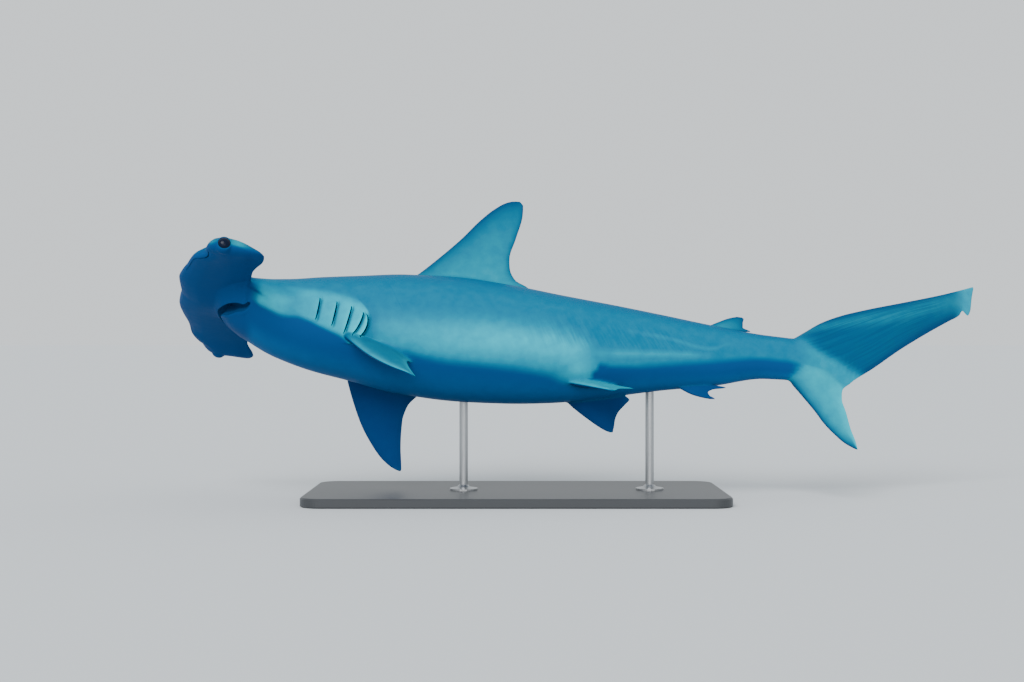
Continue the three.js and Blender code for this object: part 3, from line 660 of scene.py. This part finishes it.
# Mouth, nostrils and eye sockets
mouth = {
    "front": 4.75, "length": 3.95, "half": 4.05, "turn": 84,
    "bend": 0.85,  # the power that shapes its arch
    "open": 1.0, "cornerOpen": 0.12, "openPower": 0.45,
    "slant": 0.6, "depth": 1.5, "reach": 1.5, "cornerShare": 0.45,
    "jut": 0.55, "jutAt": 0.48, "jutSpread": 0.12,  # the middle of the lower jaw stands forward in the gap
    "lipHeight": 0.1, "lipWidth": 0.26, "lipInset": 0.12, "lipSteps": 160,
    "lipZone": (9.5, 5.5, 0.1),  # last station, distance out and greatest height
    "fineZone": (3.9, 9.2, 5, -0.3),  # stations, distance out and height of the faces that are split
    "steps": 96,
}
nostril = {
    "from": 5.8, "middle": 10.3, "spread": 0.8, "to": 11.3,
    "inset": 0.1, "width": 0.12, "depth": 0.3, "grooveWidth": 0.06, "grooveDepth": 0.12,
    "under": 0.36,  # the underside lies this far under the wing's middle
    "reach": 1.4, "steps": 60,
}
eye = {
    "station": 4.95, "side": 12.75, "radius": 0.88, "rise": -0.12, "gap": 0.012,
    "rings": 33, "segments": 64, "socketSegments": 48,
    "rimReach": 0.45, "rimRounds": 10,  # the crease round the socket is rounded
}
# Radius and distance out, round the eye's axis
socketProfile = ((0, 12.3), (0.99, 12.4), (0.96, 12.8), (0.92, 13.02), (0.86, 13.19), (0.8, 13.29),
    (0.74, 13.34), (0.69, 13.35), (0.65, 13.33), (0, 13.33))


def mouthPath(t, inward):
    angle = radians(mouth["turn"]) * (2 * t - 1)
    station = mouth["front"] + mouth["length"] * (1 - np.cos(angle)) ** mouth["bend"] + inward * np.cos(angle)
    return station, (mouth["half"] - inward) * np.sin(angle)


def mouthOpen(t):
    gape = mix(mouth["cornerOpen"], mouth["open"], np.sin(t * pi) ** mouth["openPower"])
    return gape * (1 - mouth["jut"] * bell(t, mouth["jutAt"], mouth["jutSpread"]))


def bar(name, steps, corner):  # swept along t; corner(t, rear, deep) gives the four lines of its edges
    piece, column, row = grid(name, 4, steps + 2)
    t = np.clip(row - 1, 0, steps) / steps
    edge = column % 4
    points = corner(t, (edge == 1) | (edge == 2), edge >= 2)
    for end in (0, steps + 2):
        ring = points[(row == abs(end - 1)) & (column < 4)]
        points[row == end] = ring.mean(0)
    putPlaces(piece, points)
    return closeUp(piece, 1e-4)


def mouthCorner(t, rear, deep):
    rise = np.where(deep, mouth["depth"], -mouth["reach"]) * mix(mouth["cornerShare"], 1, np.sin(t * pi))
    edge = np.where(rear, mouthOpen(t), 0)
    station, across = mouthPath(t, edge + mouth["slant"] * rise)
    return np.stack((station, -across, underHead(*mouthPath(t, edge)) + rise), -1)


def nostrilCorner(side):
    def corner(t, rear, deep):
        across = mix(nostril["from"], nostril["to"], t)
        near = bell(across, nostril["middle"], nostril["spread"])
        depth = nostril["grooveDepth"] + nostril["depth"] * near
        width = nostril["grooveWidth"] + nostril["width"] * near
        front = frontEdge(across) - wingFlex(side * across, 0)
        station = front + nostril["inset"] + np.where(rear, width, 0) + np.where(deep, depth, 0)
        low = wingMiddle(across, station) - nostril["under"] - nostril["reach"]
        height = np.where(deep, low + nostril["reach"] + depth, low)
        return np.stack((station, -side * across, height), -1)
    return corner


def turnedRing(name, side, profile, segments):  # a profile of radius and distance out, spun round the eye
    piece, column, row = grid(name, segments, len(profile) - 1)
    radius, out = np.array(profile).T
    angle = column / segments * 2 * pi
    height = wingMiddle(eye["side"], 0) + eye["rise"]
    points = np.stack((eye["station"] + radius[row] * np.cos(angle), -side * out[row],
                       height + radius[row] * np.sin(angle)), -1)
    putPlaces(piece, points)
    return closeUp(piece, 1e-4)


def ball(name, side, radius):
    turn = np.linspace(0, pi, eye["rings"])
    profile = [(radius * sin(t), eye["side"] - radius * cos(t)) for t in turn]
    return turnedRing(name, side, profile, eye["segments"])


def raiseLips(trunk):  # the rims of the mouth stand proud of the head's underside
    points = places(trunk)
    last, out, high = mouth["lipZone"]
    near = (points[:, 0] < last) & (np.abs(points[:, 1]) < out) & (points[:, 2] < high)
    t = np.linspace(0, 1, mouth["lipSteps"])
    for inward in (-mouth["lipInset"], mouthOpen(t) + mouth["lipInset"]):
        station, across = mouthPath(t, inward)
        line = np.stack((station, -across), -1)
        gap = np.sqrt(((points[near, None, :2] - line[None]) ** 2).sum(-1)).min(1)
        points[near, 2] -= mouth["lipHeight"] * bell(gap, 0, mouth["lipWidth"])
    putPlaces(trunk, points)


def refine(piece, chosen, cuts=1):  # splits the faces that the test picks by their middle
    with opened(piece) as work:
        faces = [face for face in work.faces if chosen(face.calc_center_median())]
        edges = {edge for face in faces for edge in face.edges}
        bmesh.ops.subdivide_edges(work, edges=list(edges), cuts=cuts, use_grid_fill=True)


def sharpenRims(piece):  # the rims of the cuts are shaded as sharp edges
    with opened(piece) as work:
        hollow = work.faces.layers.float["hollow"]
        for edge in work.edges:
            inside = [face[hollow] > 0 for face in edge.link_faces]
            edge.smooth = all(inside) or not any(inside)


def underMouth(p):
    start, end, out, high = mouth["fineZone"]
    return start < p.x < end and abs(p.y) < out and p.z < high


def makeShark():
    trunk = makeTrunk()
    refine(trunk, underMouth)
    refine(trunk, inGillZone, 3)
    raiseLips(trunk)
    fuse(trunk, makeFins(), "UNION", finMesh["rootReach"], finMesh["rootRounds"])
    raiseFlaps(trunk)
    sockets = [turnedRing("socket", side, socketProfile, eye["socketSegments"]) for side in (1, -1)]
    fuse(trunk, joined(*sockets), "UNION", eye["rimReach"], eye["rimRounds"])
    cuts = [bar("mouth", mouth["steps"], mouthCorner)]
    cuts += [bar("nostril", nostril["steps"], nostrilCorner(side)) for side in (1, -1)]
    cuts += [ball("eye hole", side, eye["radius"] + eye["gap"]) for side in (1, -1)]
    cuts += [bar("gill", gills["steps"], gillCorner(order, side)) for order in range(5) for side in (1, -1)]
    for cut in cuts:  # the cuts are painted with shade: a nostril is dark at its middle, and its groove is nearly the colour of the skin
        out = np.abs([face.center.y for face in cut.data.polygons])
        dark = 1 + 0 * out
        if "nostril" in cut.name:
            dark = 0.01 + bell(out, nostril["middle"], nostril["spread"])
        writeMask(cut, "hollow", dark, "FACE")
    fuse(trunk, joined(*cuts), "DIFFERENCE")
    sharpenRims(trunk)
    trunk.data.calc_loop_triangles()
    print("skin triangles", len(trunk.data.loop_triangles))
    return trunk


# Markings, among them painted light and painted shade. Each is a share from 0 to 1, by station and by degrees
# over the widest line
# The border of the painted shade on the belly, and how soft it is
shadeBorder = curve((6, -20), (9.5, -27), (12, -29), (14, -24.5), (17, -30), (19, -35), (21, -41), (25, -39),
    (28, -42), (32, -45), (38, -46), (43, -52), (45, -62), (47.3, -64), (48.6, -38), (50, -41), (53, -42),
    (56, -39), (60, -33), (64, -27), (67, -25), (70, -27), (73, -40))
shadeSoft = curve((9, 4), (14, 4), (24, 5), (32, 7), (45, 7), (49, 4), (56, 8), (70, 9))
# The painted highlight round the gills: its strength, and its top in degrees, by station
gillHighlightStrength = curve((11, 0), (13, 0.3), (15, 0.6), (18.6, 0.75), (20.2, 1), (22.2, 1), (22.7, 0))
gillHighlightTop = curve((11, 8), (13, 14), (17, 12), (20, 5), (22, -2), (23, -8))
# The ridge along the flank is paler skin with a painted highlight on it: its strength, then its degrees, by
# station
ridgeHighlight = curve((8.6, 0), (9.6, 0.85), (11.5, 0.75), (13.5, 0.3), (15, 0), (22.6, 0), (24, 0.35),
    (28, 0.6), (34, 0.85), (38, 1), (44, 1), (46.5, 0.75), (48.2, 0.2), (50, 0.15), (58, 0.1), (62, 0))
ridgeAt = curve((9, -20), (14, -14), (23, -24), (30, -24), (36, -20), (42, -19), (46, -24), (49, -32),
    (60, -26))
# The border of the painted shade over the upper tail lobe
lobeShadeBorder = curve((70, 4), (71.45, 2.8), (73.67, 1.38), (76.15, 0.58), (77.34, 0.13), (80, -0.6))
tailStreak = curve((72, 3.6), (74, 4.5), (79, 6.4), (84, 8.2), (90, 11.4), (96, 14.6))


marking = {  # most pairs are the place where a share is 0, and how far past or, negative, before it it is 1
    "head": (9.4, -1.4),
    "wing": (5.5, 1.5),  # distance out of the parts beside the neck
    "wingEnd": 11, "tail": (70.5, 4),
    "under": (0.425, -0.5),  # painted shade under the head, by how far up its surface faces
    # keel: painted light that lifts the painted shade at the bottom of the belly
    "upper": (18, 40), "keel": (-50, -30),
    "ridge": (15, 22),  # degrees that the ridge of paler skin and painted highlight spreads up and down
    "pelvicHighlight": (0.85, 46.4, 1.9, -44, 17),  # painted highlight ahead of the pelvic fin: strength, station and degrees with their spreads
    # the painted highlight round the gills: how soft its top is and where it ends behind the last slit; then
    # the painted highlight on each flap
    "gillSoft": 14, "gillEnd": (0.3, -0.25), "flapHighlights": (0.1, 0.2, 0.3, 0.6, 1),
    "flapLight": (0.22, 0.3),  # painted highlight on a flap: distance ahead of its slit, and spread
    "slitShade": (-0.16, 0.17), "slitStrength": 0.6, "slitTop": (-0.05, 0.2), "slitFoot": (1.1, -0.2),
    "lobeSoft": 1.6, "tip": (92.8, 3), "tipStrength": 0.85, "streaks": (93, -5), "finRoot": 3.2,
    "finRootEnd": 66,
    "cheek": (-8, 7.84, 3.4, 2.6, 8.6, 1.0),  # painted shadow: a wedge that slants down from the rear corner of the wing
    "eyeLight": ((1, 6.4, 0.9), (0.45, 3.6, 0.5)),  # painted highlights: strength, station and spread behind and before the eye
    "spread": 4,  # rounds that soften the borders of the fins
}


def gillMarks(station, degrees, outside):  # painted highlights on the flaps, painted shade at the slits, and the painted highlight patch that they lie in
    flapLight, slitShade = np.zeros(len(station)), np.zeros(len(station))
    for order, strength in enumerate(marking["flapHighlights"]):
        t = alongSlit(order, degrees)
        ahead = gillLine(order, np.clip(t, 0, 1))[0] - station
        share = past(t, *marking["slitTop"]) * past(t, *marking["slitFoot"]) * (outside < 0.2)
        flapLight = np.maximum(flapLight, share * strength * bell(ahead, *marking["flapLight"]))
        shade = share * marking["slitStrength"] * bell(ahead, *marking["slitShade"])
        slitShade = np.maximum(slitShade, shade)
    behind = station - gillLine(4, np.clip(alongSlit(4, degrees), -0.5, 1))[0]
    patch = ease(0.5 + (gillHighlightTop(station) - degrees) / marking["gillSoft"]) * past(behind, *marking["gillEnd"])
    return flapLight, slitShade, gillHighlightStrength(station) * patch


def tailMarks(station, up, onTail):
    # painted shade over the upper tail lobe, above its border line
    lobe = ease(0.5 + (up - lobeShadeBorder(station)) / marking["lobeSoft"]) * onTail
    level = (up - middle(station)) / (back(station) - middle(station))
    low = past(up - belly(station), 1.3, -1.3) * past(station, 78.5, 1.5)
    tip = marking["tipStrength"] * past(station, *marking["tip"])
    return {
        "root": onTail * (1 - lobe),
        "lobe": lobe,
        "lobeStreaks": lobe * past(station, *marking["streaks"]),
        "lobeEdge": np.clip(past(level, 0.2, 0.8) + low, 0, 1) * lobe * (1 - tip),
        "lobeStreak": bell(up, tailStreak(station), mix(0.5, 1.1, past(station, 72, 12))) * lobe,
        "lobeTip": tip,
    }


def markSkin(skin):
    points = places(skin)
    station, right, up = points.T
    degrees, outside = sectionOf(points)
    normals = np.empty(len(points) * 3)
    skin.data.vertex_normals.foreach_get("vector", normals)
    facing = normals.reshape(-1, 3)[:, 2]
    marks = {}
    for name in ("fin", "finLight", "finShade", "finRim"):
        marks[name] = spread(skin, readMask(skin, name), marking["spread"])
        skin.data.attributes.remove(skin.data.attributes[name])
    rim = marks.pop("finRim")

    onTrunk = 1 - ease(marks["fin"])
    wing = past(np.abs(right), *marking["wing"]) * (station < marking["wingEnd"])
    onHead = np.maximum(past(station, *marking["head"]), wing) * onTrunk
    onBody = onTrunk * (1 - onHead)
    onTail = past(station, *marking["tail"])

    # painted shade on the belly under a border line, and under the head by how far down its surface faces
    below = ease(0.5 + (shadeBorder(station) - degrees) / (2 * shadeSoft(station))) * (1 - onTail)
    under = past(facing, *marking["under"])
    # paler skin and painted highlight along the flank, and painted highlight ahead of the pelvic fin
    wide = np.where(degrees > ridgeAt(station), *marking["ridge"])
    ridge = ridgeHighlight(station) * bell(degrees, ridgeAt(station), wide)
    strength, at, length, angle, height = marking["pelvicHighlight"]
    ridge = np.maximum(ridge, strength * bell(station, at, length) * bell(degrees, angle, height))
    flapLight, slitShade, gillHighlight = gillMarks(station, degrees, outside)
    ofBody = {
        "upper": past(degrees, *marking["upper"]) * (1 - onTail),
        # painted light at the bottom of the belly
        "keel": past(degrees, *marking["keel"]) * (1 - onTail),
        "bright": np.maximum(ridge, gillHighlight),
        "flapLight": flapLight,
        "slitShade": slitShade,
    }
    ofBody.update(tailMarks(station, up, onTail))
    marks.update({name: share * onBody for name, share in ofBody.items()})

    # painted shade in the crease where the upper fins meet the back
    onRoot = marks["fin"] * (1 - marks["fin"]) * (up > middle(station)) * (station < marking["finRootEnd"])
    # painted shadow under the rear corner of the wing
    level, start, slant, height, at, length = marking["cheek"]
    wedge = bell(degrees, level - (station - start) * slant, height) * bell(station, at, length)
    # painted highlights on the rounded end of the wing, behind and before the eye
    behind, before = (power * bell(station, place, width) for power, place, width in marking["eyeLight"])
    atEye = past(np.abs(right), 12.1, 0.7) * past(up - wingMiddle(13, station), -0.35, 0.4)
    marks.update({
        "headTop": onHead * (1 - under),
        "below": below * onBody + under * onHead,
        "finRoot": marking["finRoot"] * onRoot,
        "rimDark": np.clip(rim, 0, 1),
        # painted highlight along fin rims
        "rimLight": np.clip(-rim, 0, 1),
        "cheek": wedge * onTrunk,
        "eyeLight": np.maximum(behind, before) * onHead * atEye,
        "station": station / 100,
        "turn": degrees / 180 + 0.5,
    })
    for name, values in marks.items():
        writeMask(skin, name, values)


# Materials

class Wire:  # one output of a node; sums on it add Math nodes
    def __init__(self, paint, output):
        self.paint, self.output = paint, output

    def __add__(self, other):
        return self.paint.maths("ADD", self, other)

    def __sub__(self, other):
        return self.paint.maths("SUBTRACT", self, other)

    def __rsub__(self, other):
        return self.paint.maths("SUBTRACT", other, self)

    def __mul__(self, other):
        return self.paint.maths("MULTIPLY", self, other)

    __radd__, __rmul__ = __add__, __mul__


class Paint:  # a material and the nodes that feed its shader
    def __init__(self, name, **constants):
        self.material = bpy.data.materials.new(name)
        self.material.use_nodes = True
        self.tree = self.material.node_tree
        self.shader = self.tree.nodes["Principled BSDF"]
        self.feed(self.shader, constants)

    def feed(self, made, sockets):
        for key, value in sockets.items():
            socket = made.inputs[key]
            if isinstance(value, Wire):
                self.tree.links.new(value.output, socket)
            else:
                socket.default_value = value

    def node(self, kind, settings=None, sockets=None, out=0):
        made = self.tree.nodes.new("ShaderNode" + kind)
        for key, value in (settings or {}).items():
            if key == "stops":
                while len(made.color_ramp.elements) < len(value):
                    made.color_ramp.elements.new(1)
                for element, (place, tone) in zip(made.color_ramp.elements, value):
                    element.position, element.color = place, tone
            elif key == "kind":
                made.color_ramp.interpolation = value
            else:
                setattr(made, key, value)
        self.feed(made, sockets or {})
        return Wire(self, made.outputs[out])

    def maths(self, operation, first, second):
        return self.node("Math", {"operation": operation}, {0: first, 1: second})

    def blend(self, share, first, second):
        return self.node("Mix", {"data_type": "RGBA"}, {0: share, 6: first, 7: second}, 2)

    def ramp(self, value, *stops, kind="LINEAR"):
        stops = [(place, (v, v, v, 1)) for place, v in stops]
        return self.node("ValToRGB", {"stops": stops, "kind": kind}, {0: value})

    def line(self, width, stops):  # a soft line on the body, through stations and degrees
        station, turn = self.mask("station"), self.mask("turn")
        knots = [(place / 100, degrees / 180 + 0.5) for place, degrees in stops]
        middle = self.ramp(station, *knots, kind="CARDINAL")
        near = self.ramp(self.maths("ABSOLUTE", turn - middle, 0), (0, 1), (width / 180, 0))
        start, end = stops[0][0] / 100, stops[-1][0] / 100
        quarter = (end - start) / 4
        return near * self.ramp(station, (start, 0), (start + quarter, 1), (end - quarter, 1), (end, 0))

    def mask(self, name):
        return self.node("Attribute", {"attribute_name": name}, out="Fac")

    def noise(self, scale, detail=4, vector=None):
        place = vector or self.node("TexCoord", out="Object")
        return self.node("TexNoise", sockets={"Vector": place, "Scale": scale, "Detail": detail})

    def bump(self, height, distance, strength=1.0, under=None):
        sockets = {"Height": height, "Distance": distance, "Strength": strength}
        if under:
            sockets["Normal"] = under
        return self.node("Bump", sockets=sockets)

    def finish(self, **sockets):
        self.feed(self.shader, {key.replace("_", " "): value for key, value in sockets.items()})
        return self.material


def colour(red, green, blue):  # as seen on a screen, 0 to 255, to the shader's own scale
    return tuple(((v / 255 + 0.055) / 1.055) ** 2.4 for v in (red, green, blue)) + (1,)


skinColours = {  # the flank, then what lies over it, in order, as red, green and blue
    "flank": (0, 104, 134),
    "upper": (0, 88, 124),
    # paler skin with a painted highlight on it
    "bright": (0, 166, 186),
    # painted shade on the belly and under the head
    "below": (0, 62, 112),
    # painted light lifting the painted shade at the bottom of the belly
    "keel": (0, 82, 134),
    "headTop": (0, 74, 110),
    # painted highlight on the edges of the gill flaps
    "flapLight": (20, 190, 206),
    "slitShade": (0, 62, 96),
    # painted highlights beside the eye
    "eyeLight": (2, 134, 150),
    # painted shadow behind the wing
    "cheek": (0, 50, 98),
    "root": (0, 130, 154),
    # painted shade over the upper tail lobe
    "lobe": (0, 76, 108),
    "lobeEdge": (0, 54, 92),
    "lobeStreak": (2, 104, 128),
    "lobeTip": (20, 145, 168),
    "fin": (0, 86, 116),
    # painted light on the fins
    "finLight": (0, 156, 174),
    # painted shade on the fins' under faces and on the anal fin
    "finShade": (0, 52, 102),
    # painted shade at the roots of the upper fins
    "finRoot": (0, 66, 106),
    "rimDark": (0, 48, 90),
    # painted highlight on fin rims
    "rimLight": (20, 180, 196),
    # painted shade inside the mouth, nostrils and gill slits
    "hollow": (0, 62, 108),
}


skinLines = (  # strength, colour, width in degrees, and stations with degrees over the widest line
    (0.2, "bright", 5, ((50, 6), (52, 5), (57, 0), (60, -8), (62, -6), (63, 4), (64, 7))),
    (0.35, "bright", 7, ((47, -25), (52, -25), (56, -23), (60, -21), (62, -20))),
    (0.3, "upper", 1.6, ((23.4, 34), (24, 30), (25, 15), (26, 0), (26.5, -5))),
)


skinDetail = {
    "cloudy": (5, 5), "mottle": (38, 5), "grain": (300, 3),  # scale and detail of each noise
    "muscleDark": 0.34, "streakDark": 0.45, "mottleDark": 0.22,
    "roughness": 0.45, "hollowRough": 0.4,
    "mottleBump": (0.004, 0.2),  # height in metres, and strength
    "grainBump": (0.0008, 0.3),
}


def skinPaint():
    paint = Paint("skin", **{"IOR": 1.1, "Specular IOR Level": 0.4})
    cloudy, mottle, grain = (paint.noise(*skinDetail[name]) for name in ("cloudy", "mottle", "grain"))
    colours = {name: colour(*tint) for name, tint in skinColours.items()}
    base = colours["flank"]
    for name in list(colours)[1:]:
        share = paint.mask(name)
        wavering = share + share * (1 - share) * (cloudy - 0.5)
        base = paint.blend(wavering, base, colours[name])
    # Pale folds of the tail stalk, a scratch, and the muscles that show through the thin skin of the flank
    for strength, tint, width, stops in skinLines:
        base = paint.blend(paint.line(width, stops) * strength, base, colours[tint])
    station, turn = paint.mask("station"), paint.mask("turn")
    slant = paint.node("CombineXYZ", sockets={"X": station * 230 + turn * 24, "Y": turn * 5})
    flesh = paint.noise(1, 3, slant)
    place = paint.ramp(station, (0.38, 0), (0.46, 1), (0.56, 1), (0.64, 0))
    place = place * paint.ramp(turn, (0.36, 0), (0.42, 1), (0.52, 1), (0.62, 0))
    muscle = paint.ramp(flesh, (0.42, skinDetail["muscleDark"]), (0.58, 0)) * place
    base = paint.blend(muscle, base, colours["upper"])
    along = paint.node("CombineXYZ", sockets={"X": station * 14, "Y": turn * 46})
    streaks = paint.ramp(paint.noise(1, 3, along), (0.38, skinDetail["streakDark"]), (0.6, 0))
    base = paint.blend(streaks * paint.mask("lobeStreaks"), base, colours["lobeEdge"])
    base = paint.blend(paint.ramp(mottle, (0.3, skinDetail["mottleDark"]), (0.7, 0)), base, colours["below"])
    # the painted shade of the cuts also makes them rougher
    hollow = paint.mask("hollow")
    roughness = skinDetail["roughness"] + (mottle - 0.5) * 0.2 + hollow * skinDetail["hollowRough"]
    normal = paint.bump(mottle, *skinDetail["mottleBump"])
    normal = paint.bump(grain, *skinDetail["grainBump"], normal)
    return paint.finish(Base_Color=base, Roughness=roughness, Normal=normal)


plainPaints = {  # two tones, mixed by a noise of this scale and detail, and a level and range of roughness
    "eye": {
        "constants": {"IOR": 1.25, "Specular IOR Level": 0.4},
        "noise": (500, 2), "dark": (1, 10, 28), "light": (2, 18, 44), "roughness": (0.14, 0.1),
    },
    "stand_base": {
        "constants": {"Coat Weight": 0.2, "Coat Roughness": 0.3},
        "noise": (900, 2), "dark": (34, 36, 39), "light": (48, 51, 55), "roughness": (0.42, 0.15),
        "bump": (0.0003, 0.3),
    },
    "stand_rod": {
        "constants": {"Metallic": 1.0}, "stretch": 0.02,  # of the noise, up the rod
        "noise": (900, 3), "dark": (150, 152, 154), "light": (188, 190, 192), "roughness": (0.25, 0.2),
        "bump": (0.0002, 0.3),
    },
}


def plainPaint(name):
    look = plainPaints[name]
    paint = Paint(name, **look["constants"])
    place = paint.node("TexCoord", out="Object")
    if "stretch" in look:
        place = paint.node("Mapping", sockets={"Vector": place, "Scale": (1, 1, look["stretch"])})
    fine = paint.noise(*look["noise"], place)
    level, vary = look["roughness"]
    if "bump" in look:
        paint.finish(Normal=paint.bump(fine, *look["bump"]))
    base = paint.blend(fine, colour(*look["dark"]), colour(*look["light"]))
    return paint.finish(Base_Color=base, Roughness=level + fine * vary)


# The pieces, in their pose

def dress(piece, material):
    putPlaces(piece, posed(places(piece)))
    pick(piece)
    bpy.ops.object.shade_smooth()
    piece.data.materials.clear()
    piece.data.materials.append(material)


skin = makeShark()
markSkin(skin)
dress(skin, skinPaint())
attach(skin, "root")
flesh = [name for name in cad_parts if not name.startswith(("stand", "eye"))]
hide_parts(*flesh)
print("skin done:", len(skin.data.polygons), "faces")

eyeFinish = plainPaint("eye")
for name, side in (("left", 1), ("right", -1)):
    piece = ball("eyeball_" + name, side, eye["radius"])
    dress(piece, eyeFinish)
    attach(piece, "root")
    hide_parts("eye_" + name)
print("eyes done")

for kind in ("stand_base", "stand_rod"):
    finish = plainPaint(kind)
    for name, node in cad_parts.items():
        if name.startswith(kind):
            node.material_slots[0].material = finish
print("stand done")


# Studio
studio = {
    "floorSize": 300,
    "floor": colour(196, 200, 203),
    "air": colour(226, 231, 234),
    "airStrength": 1.25,
    "suns": {  # power, width in degrees, which softens its shadows, and the way to it
        "key": (3.2, 36, (-1.0, -2.7, 2.4)),
        "fill": (1.1, 50, (0.3, -3, 0.45)),
    },
    "cameraAt": (-0.0126, -4.2076, 0.4741),
    "lens": 49.2,  # millimetres
    "sensor": 36, "clipEnd": 400,
}


def makeFloor():  # its colour meets that of the air at the horizon
    deselectAll()
    bpy.ops.mesh.primitive_plane_add(size=studio["floorSize"])
    floor = bpy.context.object
    floor.name = "floor"
    paint = Paint("floor", **{"Roughness": 1.0, "Specular IOR Level": 0.0, "Base Color": studio["floor"]})
    floor.data.materials.append(paint.material)


def makeSuns():
    for name, (power, width, way) in studio["suns"].items():
        bpy.ops.object.light_add(type="SUN")
        lamp = bpy.context.object
        lamp.name = name
        lamp.data.energy, lamp.data.angle = power, radians(width)
        lamp.rotation_euler = Vector(way).to_track_quat("Z", "Y").to_euler()


def makeStudio():
    makeFloor()
    makeSuns()
    world = bpy.context.scene.world or bpy.data.worlds.new("World")
    bpy.context.scene.world = world
    world.use_nodes = True
    background = world.node_tree.nodes["Background"]
    background.inputs["Color"].default_value = studio["air"]
    background.inputs["Strength"].default_value = studio["airStrength"]
    bpy.ops.object.camera_add(location=studio["cameraAt"], rotation=(pi / 2, 0, 0))
    camera = bpy.context.object
    camera.data.lens = studio["lens"]
    camera.data.sensor_width = studio["sensor"]
    camera.data.clip_end = studio["clipEnd"]
    bpy.context.scene.camera = camera
    print("studio done")


makeStudio()
